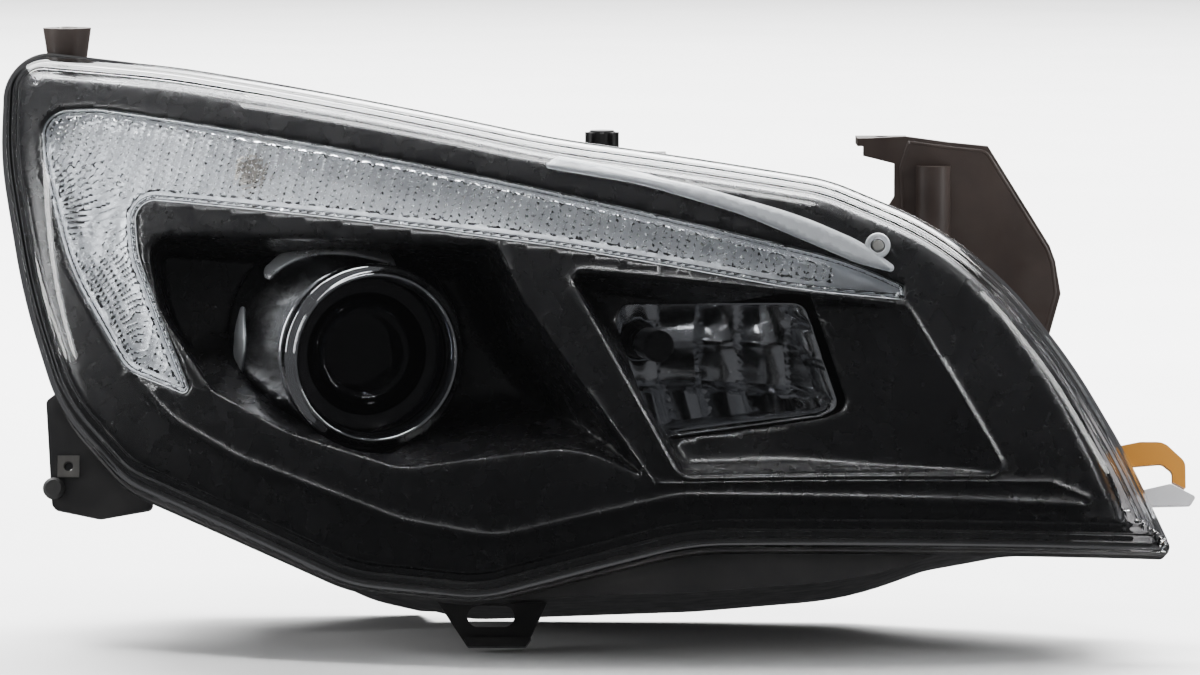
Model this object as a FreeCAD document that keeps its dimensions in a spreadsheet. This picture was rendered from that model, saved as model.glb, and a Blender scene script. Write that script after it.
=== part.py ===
"""Right-hand car headlamp: housing, clear outer lens, dark bezel, wing-shaped position and turn lamp,
low-beam projector and high-beam reflector on one aiming frame, adjusters, rear covers and brackets.

Row frame, millimetres: +Z up, -Y the way the lamp looks, +X along the lamp towards the grille.
The origin is the top centre of the outer top mounting bore.
Face frame: the glued rim and everything stacked on it lean back, so those pieces are drawn in
x (along the lamp), y (depth, backwards positive) and z (up the leaned face) and placed by FACE.
"""
import FreeCAD, Part
import math
import os
import re
import Sketcher

V = FreeCAD.Vector
doc = FreeCAD.newDocument("headlamp")
dims = doc.addObject("Spreadsheet::Sheet", "dims")

SIZES = {
    "face_lean": 15, "face_drop": 14,
    "touch_gap": 0.1, "fuse_lap": 0.1,
    "apex_along": 330, "apex_up": -140, "apex_depth": -122, "face_across_radius": 760, "face_up_radius": 360,
    "rim_depth": -68, "rim_radius": 800, "rim_width": 9, "rim_height": 14, "glue_depth": 11,
    "lens_wall": 2.8, "lens_foot_inset": 3.2, "lens_foot_end": 9,
    "housing_wall": 2.5, "housing_taper": 6, "body_end": 110,
    "bezel_depth": 14, "bezel_wall": 2.2, "bezel_inset": 9.5,
    "low_pocket_floor": -16, "high_pocket_floor": -74,
    "wing_lens_wall": 3, "wing_tray_depth": 40, "wing_tray_wall": 1.5, "wing_gap": 0.5,
    "beam_yaw": 18,
    "low_along": 164, "low_front": -126, "low_up": -157,
    "high_along": 314, "high_front": -136, "high_up": -154,
    "ring_rim": 46, "ring_bore": 38, "ring_back": -14,
    "shroud_front_rim": 45, "shroud_base_rim": 57, "shroud_wall": 1.5,
    "low_lens_rim": 32.5, "low_lens_dome": 30, "dome_radius": 37.5, "dome_top": -8, "dome_back": -23,
    "lens_back": -30, "holder_rim": 37, "flange_rim": 48, "flange_front": -76, "flange_back": -79,
    "bowl_neck": 16, "bowl_neck_end": -156, "bulb_rim": 11.2, "low_bulb_end": -174,
    "high_focal": 24, "high_apex": 75, "reflector_wall": 2, "high_neck": 13, "high_neck_bore": 9.6,
    "high_bulb_end": 108, "high_front_gap": -64.8,
    "pivot_along": 215, "pivot_depth": -52, "pivot_up": -95, "ball_radius": 5, "ball_gap": 0.35,
    "socket_rim": 8.2, "seat_rim": 12,
    "frame_front": -30, "frame_back": -26,
    "low_web_shift": 32, "low_web_bore": 44, "high_web_shift": 35, "high_web_bore": 17,
    "side_adjuster_along": 385, "side_adjuster_up": -125, "thread_radius": 3, "nut_bore": 3.5,
    "level_drop": 140, "level_rod_radius": 2.8, "level_ball": 4.4, "level_cup_rim": 9,
    "rear_wall": 0, "low_rear_wall": 52, "collar_length": 14, "screw_boss_rim": 7, "screw_boss_length": 30,
    "low_cap_along": 112, "low_cap_rim": 47, "high_cap_along": 284, "high_cap_rim": 38, "collar_wall": 3,
    "cap_fit": 0.4, "cap_plug": 8, "cap_flange": 3,
    "sleeve_bore": 3.5, "sleeve_rim": 5, "sleeve_length": 13, "boss_top_rim": 12.3, "boss_foot_rim": 10,
    "boss_taper": 16, "boss_foot_end": 30, "channel_groove": 2.4,
    "bracket_bore": 3.5, "bracket_plate": 4, "clip_bore": 2.4,
    "slot_length": 23.5, "slot_width": 10.5,
    "turn_along": 100, "turn_up": -71, "turn_neck": 13, "turn_neck_bore": 11,
    "position_along": 325, "position_up": -117, "position_neck": 8, "position_neck_bore": 6.5,
}
for line, (alias, number) in enumerate(SIZES.items(), start=1):
    dims.set(f"A{line}", alias)
    dims.set(f"B{line}", str(number))
    dims.setAlias(f"B{line}", alias)
doc.recompute()


def size(alias):
    return float(dims.get(alias))


# Outlines on the leaned face: corners (along, up, corner radius), clockwise from the outer top.
LENS_OUTLINE = [(-33.5, 7.5, 22), (60, -11.5, 600), (250, -60, 500), (385, -82, 90), (440, -105, 160),
                (475, -134, 160), (505, -171, 300), (532, -214, 400), (557, -261, 3.5), (318, -262.5, 150),
                (215, -287, 70), (150, -279, 80), (36, -225, 45), (2, -187, 90), (-17, -130, 400),
                (-32, -55, 200)]
BODY_OUTLINE = [(-24, 0, 16), (60, -20, 600), (248, -68, 500), (381, -90, 85), (434, -112, 150),
                (468, -140, 150), (498, -176, 300), (526, -220, 300), (545, -253, 4), (478, -255, 60),
                (441, -261, 40), (402, -274.5, 200), (322, -281, 300), (205, -285, 80), (152, -273, 80),
                (42, -219, 40), (10, -183, 85), (-9, -127, 390), (-23, -55, 190)]
WING_OUTLINE = [(-11, -30, 13), (20, -32, 60), (395, -124.5, 200), (421, -136, 1), (421, -143.5, 1),
                (370, -139.5, 400), (250, -117, 500), (41, -83, 9), (44, -112, 40), (73, -185.5, 3),
                (38, -170, 20), (8, -118, 150), (-8, -62, 150)]
LOW_POCKET = [(47, -102, 10), (224, -115.5, 14), (236, -142, 60), (299, -232, 3), (262, -215, 60),
              (176, -224, 40), (120, -205, 80), (82, -183, 12), (54, -140, 60)]
HIGH_POCKET = [(256, -129, 5), (421, -147, 6), (470, -226, 4), (312, -229, 10)]
# High-beam opening seen along its own axis, corners from that axis.
HIGH_OPENING = [(-24, 22, 5), (63, 22, 6), (75, -27, 5), (66, -31, 5), (-8, -41, 5), (-18, -23, 8),
                (-27, 14, 6)]
# Rear walls seen from above: the housing ends at these (along, depth) corners.
REAR_PLAN = [(-60, -330), (-60, 22), (40, 24), (60, 52), (166, 52), (188, 0), (400, 0), (470, -16),
             (590, -62), (590, -330)]
# Small features on the leaned face: bracket screws, hole in the lower foot, clip and wing screw.
BRACKET_BOSSES = [(438, -155), (486, -188)]
SLOT = (218.5, -288)
CLIP = (4, -209.5)
EYELET = (408, -117)
FAR_FRONT, FAR_BACK = -200, 200  # depths clear of the lamp, for cutting columns

FACE_SWEEP = 35  # degrees each side of the apex
FACE = FreeCAD.Placement(V(0, -size("face_drop"), -size("face_drop")),
                         FreeCAD.Rotation(V(1, 0, 0), -size("face_lean")))
YAW = FreeCAD.Rotation(V(0, 0, 1), size("beam_yaw"))
LOW_ORIGIN = V(size("low_along"), size("low_front"), size("low_up"))
HIGH_ORIGIN = V(size("high_along"), size("high_front"), size("high_up"))
PIVOT = V(size("pivot_along"), size("pivot_depth"), size("pivot_up"))
LEVEL = PIVOT - V(0, 0, size("level_drop"))
SIDE = V(size("side_adjuster_along"), size("pivot_depth"), size("side_adjuster_up"))


def facing(origin, yaw=FreeCAD.Rotation()):
    """Placement whose own +Z points forwards (-Y before the yaw), for pieces turned about an axis."""
    return FreeCAD.Placement(origin, yaw * FreeCAD.Rotation(V(1, 0, 0), 90))


LOW_BEAM = facing(LOW_ORIGIN, YAW)
HIGH_BEAM = facing(HIGH_ORIGIN, YAW)


# ---------------------------------------------------------------- building blocks
def bound(text):
    """An expression in which each alias is read from the sheet."""
    return re.sub(r"[a-z]\w+", lambda found: "dims." + found.group(0), text)


def closed_sketch(body, corners):
    """A closed polygon on the body's XZ plane; each corner's two distances are bound to the sheet."""
    sketch = body.newObject("Sketcher::SketchObject", body.Name + "_profile")
    plane = next(feature for feature in body.Origin.OriginFeatures if feature.Role == "XZ_Plane")
    sketch.AttachmentSupport = (plane, [""])
    sketch.MapMode = "FlatFace"
    values = [[float(sketch.evalExpression(bound(text))) for text in corner] for corner in corners]
    count = len(values)
    for index, (across, up) in enumerate(values):
        next_across, next_up = values[(index + 1) % count]
        sketch.addGeometry(Part.LineSegment(V(across, up, 0), V(next_across, next_up, 0)))
    for index in range(count):
        sketch.addConstraint(Sketcher.Constraint("Coincident", index, 2, (index + 1) % count, 1))
    for index, corner in enumerate(corners):
        for kind, text, value in zip(("DistanceX", "DistanceY"), corner, values[index]):
            number = sketch.addConstraint(Sketcher.Constraint(kind, -1, 1, index, 1, value))
            sketch.setExpression(f"Constraints[{number}]", bound(text))
    doc.recompute()
    return sketch


def turned(name, corners, placement):
    """A piece turned about its own Z axis, from (radius, height) corners."""
    body = doc.addObject("PartDesign::Body", name)
    sketch = closed_sketch(body, corners)
    revolution = body.newObject("PartDesign::Revolution", name + "_turned")
    revolution.Profile = sketch
    revolution.ReferenceAxis = (sketch, ["V_Axis"])
    revolution.Angle = 360
    body.Placement = placement
    doc.recompute()
    return body


def plate(name, corners, thickness, placement):
    """A flat piece from (along, up) corners, centred on its own XZ plane."""
    body = doc.addObject("PartDesign::Body", name)
    pad = body.newObject("PartDesign::Pad", name + "_pad")
    pad.Profile = closed_sketch(body, corners)
    pad.SideType = "Symmetric"
    pad.setExpression("Length", bound(thickness))
    body.Placement = placement
    doc.recompute()
    return body


def cylinder(name, radius, height, placement):
    piece = doc.addObject("Part::Cylinder", name)
    piece.setExpression("Radius", bound(radius))
    piece.setExpression("Height", bound(height))
    piece.Placement = placement
    return piece


def block(name, low, high, placement=FreeCAD.Placement()):
    """A box between two corners given in its placement's own frame."""
    piece = doc.addObject("Part::Box", name)
    piece.Length, piece.Width, piece.Height = (top - bottom for bottom, top in zip(low, high))
    piece.Placement = placement * FreeCAD.Placement(V(*low), FreeCAD.Rotation())
    return piece


def joined(name, pieces):
    result = doc.addObject("Part::MultiFuse", name)
    result.Shapes = pieces
    result.Refine = True
    doc.recompute()
    return result


def cut(name, base, tool):
    result = doc.addObject("Part::Cut", name)
    result.Base = base
    result.Tool = tool
    doc.recompute()
    return result


def shaped(name, shape, placement=FreeCAD.Placement()):
    """A piece whose shape is worked out here, given in its placement's own frame."""
    piece = doc.addObject("Part::Feature", name)
    solids = shape.Solids
    piece.Shape = solids[0] if len(solids) == 1 else Part.makeCompound(solids)
    piece.Placement = placement
    return piece


def outline(corners, inset=0.0):
    """Wire of straight runs and tangent arcs through (along, up, radius) corners, moved inwards."""
    flat = [FreeCAD.Vector(along, up, 0) for along, up, _ in corners]
    count = len(flat)
    after_each = flat[1:] + flat[:1]
    area = sum(here.x * there.y - there.x * here.y for here, there in zip(flat, after_each))
    turn = 1 if area > 0 else -1
    runs = [(there - here).normalize() for here, there in zip(flat, after_each)]
    normals = [V(-run.y, run.x, 0) * turn for run in runs]
    starts, middles, ends = [], [], []
    for i in range(count):
        before, after = runs[i - 1], runs[i]
        shift = (normals[i - 1] + normals[i]) * (inset / (1 + normals[i - 1].dot(normals[i])))
        corner = flat[i] + shift
        convex = (before.x * after.y - before.y * after.x) * turn > 0
        radius = max(corners[i][2] - inset if convex else corners[i][2] + inset, 0.3)
        half = before.getAngle(after) / 2
        reach = radius * math.tan(half)
        inward = (after - before).normalize()
        starts.append(corner - before * reach)
        ends.append(corner + after * reach)
        middles.append(corner + inward * (radius / math.cos(half) - radius))
    on_face = lambda point: V(point.x, 0, point.y)
    edges = []
    for i in range(count):
        edges.append(Part.Arc(*(on_face(point) for point in (starts[i], middles[i], ends[i]))).toShape())
        edges.append(Part.LineSegment(on_face(ends[i]), on_face(starts[(i + 1) % count])).toShape())
    return Part.Wire(edges)


def prism(corners, inset, front, back):
    """An outline carried straight back from one depth to another."""
    face = Part.Face(outline(corners, inset))
    face.translate(V(0, front, 0))
    return face.extrude(V(0, back - front, 0))


def tapered(corners, front, back, inset, taper):
    """An outline carried back while it draws in evenly by the taper."""
    wires = []
    for depth, amount in ((front, inset), (back, inset + taper)):
        wire = outline(corners, amount)
        wire.translate(V(0, depth, 0))
        wires.append(wire)
    return Part.makeLoft(wires, True, True)


def face_form(depth):
    """Everything behind the doubly curved lens face, from a depth below it.

    The face is an arc turned about an upright axis.
    """
    over, up, front = size("face_up_radius"), size("apex_up"), size("apex_depth")
    middle, radius, spread = front + over, over - depth, math.radians(60)
    along = size("apex_along")
    arc_points = [V(along, middle - radius * math.cos(angle), up + radius * math.sin(angle))
                  for angle in (-spread, 0, spread)]
    behind = [V(along, 150, arc_points[2].z), V(along, 150, arc_points[0].z)]
    edges = [Part.Arc(*arc_points).toShape(), Part.LineSegment(arc_points[2], behind[0]).toShape(),
             Part.LineSegment(*behind).toShape(), Part.LineSegment(behind[1], arc_points[0]).toShape()]
    axis = V(along, front + size("face_across_radius"), 0)
    profile = Part.Face(Part.Wire(edges))
    profile.rotate(axis, V(0, 0, 1), -FACE_SWEEP)
    return profile.revolve(axis, V(0, 0, 1), 2 * FACE_SWEEP)


def rim_form(depth):
    """Everything behind the rim's singly curved seat, from a depth below it."""
    radius = size("rim_radius")
    low_end = V(size("apex_along"), size("rim_depth") + radius, size("apex_up") - 250)
    return Part.makeCylinder(radius - depth, 500, low_end, V(0, 0, 1))


def face_skin(corners, inset, depth, thickness):
    column = prism(corners, inset, FAR_FRONT, FAR_BACK)
    return column.common(face_form(depth)).cut(face_form(depth + thickness))


def rim_skin(corners, inset, depth, thickness):
    column = prism(corners, inset, FAR_FRONT, FAR_BACK)
    return column.common(rim_form(depth)).cut(rim_form(depth + thickness))


def face_depth(along, up):
    """Depth of the lens face at a point of the leaned face."""
    across, over = size("face_across_radius"), size("face_up_radius")
    reach = across - over + math.sqrt(over ** 2 - (up - size("apex_up")) ** 2)
    return size("apex_depth") + across - math.sqrt(reach ** 2 - (along - size("apex_along")) ** 2)


def backwards(radius, start, end, placement=FreeCAD.Placement()):
    """A plain cylinder along depth from a start point to an end depth, in a placement's frame."""
    shape = Part.makeCylinder(radius, end - start.y, start, V(0, 1, 0))
    shape.transformShape(placement.toMatrix())
    return shape


nodes = {}


def keep(piece, name):
    """Names a finished sub-part; the name is also its file's."""
    piece.Label = name
    nodes[name] = piece
    return piece


# ---------------------------------------------------------------- housing
def rim_channel():
    """U-shaped glue channel that the lens foot stands in."""
    ring = rim_skin(LENS_OUTLINE, 0, -2, size("rim_height") + 2)
    return ring.cut(prism(LENS_OUTLINE, size("rim_width"), FAR_FRONT, FAR_BACK)).cut(rim_groove())


def rim_groove():
    """The room in the channel for the lens foot and the sealant."""
    inset, glue = size("channel_groove"), size("glue_depth")
    ring = rim_skin(LENS_OUTLINE, inset, -3, glue + 3)
    return ring.cut(prism(LENS_OUTLINE, size("rim_width") - inset, FAR_FRONT, FAR_BACK))


def body_hollow(inset, rear_inset):
    """The room inside the body, drawn in by an inset at its sides and another at its rear walls."""
    front, back = -size("body_end"), size("body_end") - rear_inset
    taper = size("housing_taper")
    sides = tapered(BODY_OUTLINE, front, back, inset, taper).common(rim_form(size("rim_height") - 3))
    corners = [V(along, depth - (rear_inset if depth > -300 else 0), -400) for along, depth in REAR_PLAN]
    plan = Part.Face(Part.makePolygon(corners + corners[:1])).extrude(V(0, 0, 600))
    plan.transformShape(FACE.inverse().toMatrix())
    return sides.common(plan)


def upright(shape):
    """A shape given in the row frame, turned into the face frame."""
    moved = shape.copy()
    moved.transformShape(FACE.inverse().toMatrix())
    return moved


def rear_collar(along, up, rim, wall_depth):
    start = V(along, wall_depth - size("housing_wall"), up)
    return Part.makeCylinder(rim, size("collar_length"), start, V(0, 1, 0))


def wall_hole(radius, along, up, start=-10, length=20):
    """Cutter for a round hole through the rear wall."""
    return Part.makeCylinder(radius, length, V(along, start, up), V(0, 1, 0))


def rear_housing():
    wall = size("housing_wall")
    shell = body_hollow(0, 0).cut(body_hollow(wall, wall))
    step = rim_skin(BODY_OUTLINE, 0, size("rim_height") - 3, 3)
    step = step.cut(prism(LENS_OUTLINE, size("rim_width") - size("fuse_lap"), FAR_FRONT, FAR_BACK))
    solid = rim_channel().fuse([shell, step])
    low_up, high_up = size("low_up"), size("high_up")
    low_rear, rear = size("low_rear_wall"), size("rear_wall")
    low_cap, high_cap = size("low_cap_along"), size("high_cap_along")
    peg_pad = Part.makeBox(42, 16, 24, V(264, -72, -84))
    additions = [rear_collar(low_cap, low_up, size("low_cap_rim"), low_rear),
                 rear_collar(high_cap, high_up, size("high_cap_rim"), rear), peg_pad]
    boss_rim, boss_length = size("screw_boss_rim"), size("screw_boss_length")
    boss_start = -size("bracket_plate") - boss_length
    additions += [wall_hole(boss_rim, along, up, boss_start, boss_length) for along, up in BRACKET_BOSSES]
    solid = solid.fuse([upright(shape) for shape in additions])
    solid = solid.fuse(slot_tab())
    inner = size("collar_wall")
    holes = [wall_hole(size("low_cap_rim") - inner, low_cap, low_up, low_rear - 12, 40),
             wall_hole(size("high_cap_rim") - inner, high_cap, high_up, rear - 12, 40),
             wall_hole(size("level_rod_radius") + 1.5, LEVEL.x, LEVEL.z),
             wall_hole(size("thread_radius") + 0.6, SIDE.x, SIDE.z)]
    holes += [wall_hole(2, along, up, -14, 14) for along, up in BRACKET_BOSSES]
    solid = solid.cut([upright(shape) for shape in holes])
    return solid.cut([slot_hole(), rim_groove()])


def housing_stock():
    """The room that the housing and everything inside it take up."""
    rim = rim_skin(LENS_OUTLINE, 0, -60, 60 + size("rim_height"))
    return rim.fuse(body_hollow(0, 0))


def outer_mount_boss():
    """Flared boss that stands on the rim and on the top wall, with the outer top bore through it."""
    foot_rim, taper, end = size("boss_foot_rim"), size("boss_taper"), size("boss_foot_end")
    funnel = Part.makeCone(foot_rim, size("boss_top_rim"), taper, V(0, 0, -taper - 0.5), V(0, 0, 1))
    foot = Part.makeCylinder(foot_rim, end - taper, V(0, 0, -end), V(0, 0, 1))
    bore = Part.makeCylinder(size("sleeve_rim"), end + 1, V(0, 0, -end), V(0, 0, 1))
    return upright(funnel.fuse(foot).cut(bore)).cut(housing_stock())


def slot_tab():
    """Tapered foot under the housing, in the plane of the face."""
    corners = [(190, -278, 1), (248, -278, 1), (236, -303.5, 2), (207, -303.5, 2)]
    web = [(205, -299, 0.5), (239, -299, 0.5), (236, -303.5, 1), (207, -303.5, 1)]
    return prism(corners, 0, -9, -5).fuse(prism(web, 0, -14, -5))


def slot_hole():
    half, end = size("slot_length") / 2, size("slot_width") / 2
    rounding = end - 0.05  # just short of a full half round
    signs = ((-1, -1), (1, -1), (1, 1), (-1, 1))
    corners = [(SLOT[0] + across * half, SLOT[1] + up * end, rounding) for across, up in signs]
    return prism(corners, 0, -20, 0)


def lower_corner_block():
    """Block on the lower outer edge that carries the speed nut and a rubber stop."""
    corners = [(-8, -176, 3), (2, -168, 3), (40, -214, 5), (48, -231, 3), (20, -236, 8), (-4, -231, 4)]
    rear = [(-2, -182, 3), (6, -176, 3), (40, -214, 5), (44, -228, 3), (20, -232, 8), (0, -228, 4)]
    clip_hole = Part.makeCylinder(size("clip_bore") + 0.6, 60, V(CLIP[0], 5, CLIP[1]), V(0, 1, 0))
    solid = prism(corners, 0, 14, 20).fuse(prism(rear, 0, 19, 44))
    return solid.cut([clip_hole, housing_stock()])


keep(shaped("rear_housing_shell", rear_housing(), FACE), "rear_housing")
keep(shaped("outer_mount_boss_solid", outer_mount_boss(), FACE), "outer_mount_boss")
keep(shaped("lower_corner_block_solid", lower_corner_block(), FACE), "lower_corner_block")


# ---------------------------------------------------------------- lens, seal, bezel and wing
def outer_lens():
    """Clear cover: a curved face, straight sides and a foot in the glue channel."""
    foot, wall, end = size("lens_foot_inset"), size("lens_wall"), size("lens_foot_end")
    outside = prism(LENS_OUTLINE, foot, FAR_FRONT, FAR_BACK).common(face_form(0)).cut(rim_form(end))
    inside = prism(LENS_OUTLINE, foot + wall, FAR_FRONT, FAR_BACK).common(face_form(wall))
    flange = rim_skin(LENS_OUTLINE, 0.8, -5, 2.5).cut(prism(LENS_OUTLINE, foot + 1, FAR_FRONT, FAR_BACK))
    return outside.cut(inside).fuse(flange)


def lens_seal():
    """Bead of sealant in the bottom of the channel."""
    gap = size("touch_gap")
    end = size("lens_foot_end") + gap
    outer_side = size("channel_groove") + gap
    inner_side = size("rim_width") - outer_side
    bead = rim_skin(LENS_OUTLINE, outer_side, end, size("glue_depth") - end - gap)
    return bead.cut(prism(LENS_OUTLINE, inner_side, FAR_FRONT, FAR_BACK))


def pocket(corners, floor):
    """Walls and floor of a recess that hangs from the back of the bezel's face."""
    wall = size("bezel_wall")
    column = prism(corners, -wall, FAR_FRONT, floor + wall)
    return column.common(face_form(size("bezel_depth")))


def inner_bezel():
    """Dark moulding behind the lens: face, skirt, two recesses and openings for the lamps behind it."""
    depth, wall, inset = size("bezel_depth"), size("bezel_wall"), size("bezel_inset")
    skin = face_skin(LENS_OUTLINE, inset, depth, wall)
    skirt = prism(LENS_OUTLINE, inset, FAR_FRONT, FAR_BACK).common(face_form(depth)).cut(rim_form(-1))
    skirt = skirt.cut(prism(LENS_OUTLINE, inset + wall, FAR_FRONT, FAR_BACK))
    low_floor, high_floor = size("low_pocket_floor"), size("high_pocket_floor")
    solid = skin.fuse([skirt, pocket(LOW_POCKET, low_floor), pocket(HIGH_POCKET, high_floor)])
    low_room = prism(LOW_POCKET, 0, FAR_FRONT, low_floor)
    high_room = prism(HIGH_POCKET, 0, FAR_FRONT, high_floor)
    solid = solid.cut([low_room, high_room])
    wing = prism(WING_OUTLINE, 0, FAR_FRONT, FAR_BACK).cut(face_form(depth + wall + 12))
    shroud = turned_hole(LOW_BEAM, size("shroud_base_rim") + 0.5)
    beam = prism(HIGH_OPENING, -3, -80, 160)
    beam.transformShape(FreeCAD.Placement(HIGH_ORIGIN, YAW).toMatrix())
    return solid.cut([wing, upright(shroud), upright(beam)])


def turned_hole(placement, radius):
    shape = Part.makeCylinder(radius, 140, V(0, 0, -100), V(0, 0, 1))
    shape.transformShape(placement.toMatrix())
    return shape


def wing_lens():
    return face_skin(WING_OUTLINE, size("wing_gap"), size("bezel_depth"), size("wing_lens_wall"))


def wing_neck(along, up, radius):
    floor = face_depth(along, up) + size("wing_tray_depth")
    return backwards(radius, V(along, floor - 4, up), floor + 10)


def wing_reflector():
    """Bright tray behind the wing lens, with a neck for each of its two bulbs."""
    front = size("bezel_depth") + size("wing_lens_wall") + 0.2
    depth, wall, gap = size("wing_tray_depth"), size("wing_tray_wall"), size("wing_gap")
    tray = face_skin(WING_OUTLINE, gap, front, depth - front)
    tray = tray.cut(face_skin(WING_OUTLINE, gap + wall, front - 1, depth - front + 1 - wall))
    places = (("turn_along", "turn_up", "turn_neck"), ("position_along", "position_up", "position_neck"))
    for along, up, neck in places:
        tray = tray.fuse(wing_neck(size(along), size(up), size(neck)))
    for along, up, neck in places:
        bore = backwards(size(neck + "_bore"), V(size(along), -150, size(up)), 60)
        tray = tray.cut(bore)
    beside_pocket = -size("bezel_wall") - size("touch_gap")
    return tray.cut(prism(LOW_POCKET, beside_pocket, FAR_FRONT, size("low_pocket_floor") + 4))


keep(shaped("outer_lens_shell", outer_lens(), FACE), "outer_lens")
keep(shaped("lens_seal_bead", lens_seal(), FACE), "lens_seal")
keep(shaped("inner_bezel_shell", inner_bezel(), FACE), "inner_bezel")
keep(shaped("wing_lens_plate", wing_lens(), FACE), "wing_lens")
keep(shaped("wing_reflector_tray", wing_reflector(), FACE), "wing_reflector")

eyelet_depth = face_depth(*EYELET) + size("bezel_depth")
keep(turned("wing_screw_body", [("0", "0.2"), ("3.2", "0.2"), ("2.4", "2.4"), ("0", "2.4")],
            FACE * facing(V(EYELET[0], eyelet_depth, EYELET[1]))), "wing_screw")


# ---------------------------------------------------------------- low-beam projector
RING_PROFILE = [("ring_bore", "ring_back"), ("ring_rim - 1", "ring_back"), ("ring_rim", "-10"),
                ("ring_rim - 1", "-3"), ("ring_rim - 4", "0"), ("ring_bore + 1.5", "-1.5"),
                ("ring_bore", "-6")]
keep(turned("trim_ring_body", RING_PROFILE, LOW_BEAM), "projector_trim_ring")

BARREL_PROFILE = [("shroud_front_rim - shroud_wall", "ring_back - touch_gap"),
                  ("shroud_front_rim", "ring_back - touch_gap"), ("shroud_front_rim + 5", "-26"),
                  ("shroud_base_rim - 2", "-44"), ("shroud_base_rim", "-62"), ("shroud_base_rim", "-96"),
                  ("shroud_base_rim - shroud_wall", "-96"), ("shroud_base_rim - shroud_wall", "-62"),
                  ("shroud_base_rim - 2 - shroud_wall", "-44"), ("shroud_front_rim + 5 - shroud_wall", "-26")]
barrel = turned("shroud_barrel", BARREL_PROFILE, LOW_BEAM)
behind_floor = block("behind_pocket_floor", (0, size("low_pocket_floor") + size("bezel_wall"), -320),
                     (340, 90, 0), FACE)
keep(cut("shroud_cut", barrel, behind_floor), "projector_shroud")


def on_low_beam(height):
    """Placement on the low-beam axis, its own +Z forwards, at a height ahead of the beam's origin."""
    return LOW_BEAM * FreeCAD.Placement(V(0, 0, height), FreeCAD.Rotation())


dome = doc.addObject("Part::Sphere", "lens_dome")
dome.setExpression("Radius", bound("dome_radius"))
dome.Placement = on_low_beam(size("dome_top") - size("dome_radius"))
dome_stock = cylinder("dome_stock", "low_lens_dome", "dome_top - dome_back", on_low_beam(size("dome_back")))
dome_cap = doc.addObject("Part::Common", "dome_cap")
dome_cap.Base = dome
dome_cap.Tool = dome_stock
lens_edge = cylinder("lens_edge", "low_lens_rim", "dome_back - lens_back", on_low_beam(size("lens_back")))
keep(joined("projector_lens_solid", [dome_cap, lens_edge]), "projector_lens")

HOLDER_PROFILE = [("low_lens_dome + 0.6", "-20"), ("holder_rim", "-20"), ("holder_rim", "-36"),
                  ("flange_rim - 4", "-67"), ("flange_rim", "-70"), ("flange_rim", "flange_front"),
                  ("38.5", "flange_front"), ("38.5", "-68"), ("low_lens_dome + 0.6", "-36"),
                  ("low_lens_dome + 0.6", "lens_back - 0.2"), ("low_lens_rim + 0.2", "lens_back - 0.2"),
                  ("low_lens_rim + 0.2", "dome_back + 0.2"), ("low_lens_dome + 0.6", "dome_back + 0.2")]
keep(turned("lens_holder_body", HOLDER_PROFILE, LOW_BEAM), "lens_holder")

BOWL_PROFILE = [("38.5", "flange_front - touch_gap"), ("flange_rim", "flange_front - touch_gap"),
                ("flange_rim", "flange_back"), ("42", "flange_back"), ("40.5", "-92"), ("34.5", "-116"),
                ("24", "-137"), ("bowl_neck", "-146"), ("bowl_neck", "bowl_neck_end"),
                ("11.5", "bowl_neck_end"), ("11.5", "-144"), ("21.5", "-134.5"), ("32", "-115"),
                ("38", "-92")]
keep(turned("projector_bowl_body", BOWL_PROFILE, LOW_BEAM), "projector_bowl")

SHIELD_OUTLINE = [("-38", "-38"), ("38", "-38"), ("38", "-1"), ("3", "-1"), ("0", "0"), ("-38", "0")]
shield_place = FreeCAD.Placement(LOW_ORIGIN, YAW) * FreeCAD.Placement(V(0, 72, 0), FreeCAD.Rotation())
shield_blank = plate("beam_shield_plate", SHIELD_OUTLINE, "1.2", shield_place)
shield = doc.addObject("Part::Common", "shield_trimmed")
shield.Base = shield_blank
shield.Tool = cylinder("shield_disc", "38.3", "8", on_low_beam(-76))
keep(shield, "beam_shield")

LOW_BULB_PROFILE = [("0", "-122"), ("4.5", "-122"), ("6", "-126"), ("6", "-147"), ("bulb_rim", "-147"),
                    ("bulb_rim", "bowl_neck_end - 0.2"), ("14.5", "bowl_neck_end - 0.2"), ("14.5", "-159"),
                    ("10", "-159"), ("10", "low_bulb_end"), ("0", "low_bulb_end")]
keep(turned("low_bulb_body", LOW_BULB_PROFILE, LOW_BEAM), "low_beam_bulb")

BULB_RING_PROFILE = [("10.4", "-159.2"), ("19", "-159.2"), ("19", "-152"), ("17", "-152"),
                     ("17", "bowl_neck_end - 0.2"), ("14.8", "bowl_neck_end - 0.2"), ("14.8", "-159"),
                     ("10.4", "-159")]
keep(turned("low_bulb_ring_body", BULB_RING_PROFILE, LOW_BEAM), "low_beam_bulb_retainer")
doc.recompute()


# ---------------------------------------------------------------- high-beam reflector
def paraboloid(focal, apex):
    """Solid of revolution about the beam axis, open end forwards."""
    reach = 96
    points = [V(radius, apex - radius ** 2 / (4 * focal), 0) for radius in range(0, reach + 1, 12)]
    curve = Part.BSplineCurve()
    curve.interpolate(points)
    end = points[-1]
    lid = Part.LineSegment(end, V(0, end.y, 0)).toShape()
    axis = Part.LineSegment(V(0, end.y, 0), points[0]).toShape()
    return Part.Face(Part.Wire([curve.toShape(), lid, axis])).revolve(V(0, 0, 0), V(0, 1, 0), 360)


def dish_outside():
    """The dish and its bulb neck with their insides filled, about the high-beam axis."""
    wall, apex = size("reflector_wall"), size("high_apex")
    bowl = prism(HIGH_OPENING, -wall, -40, 100).common(paraboloid(size("high_focal"), apex + wall))
    return bowl.fuse(backwards(size("high_neck"), V(0, apex - 6, 0), apex + 12))


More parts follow.
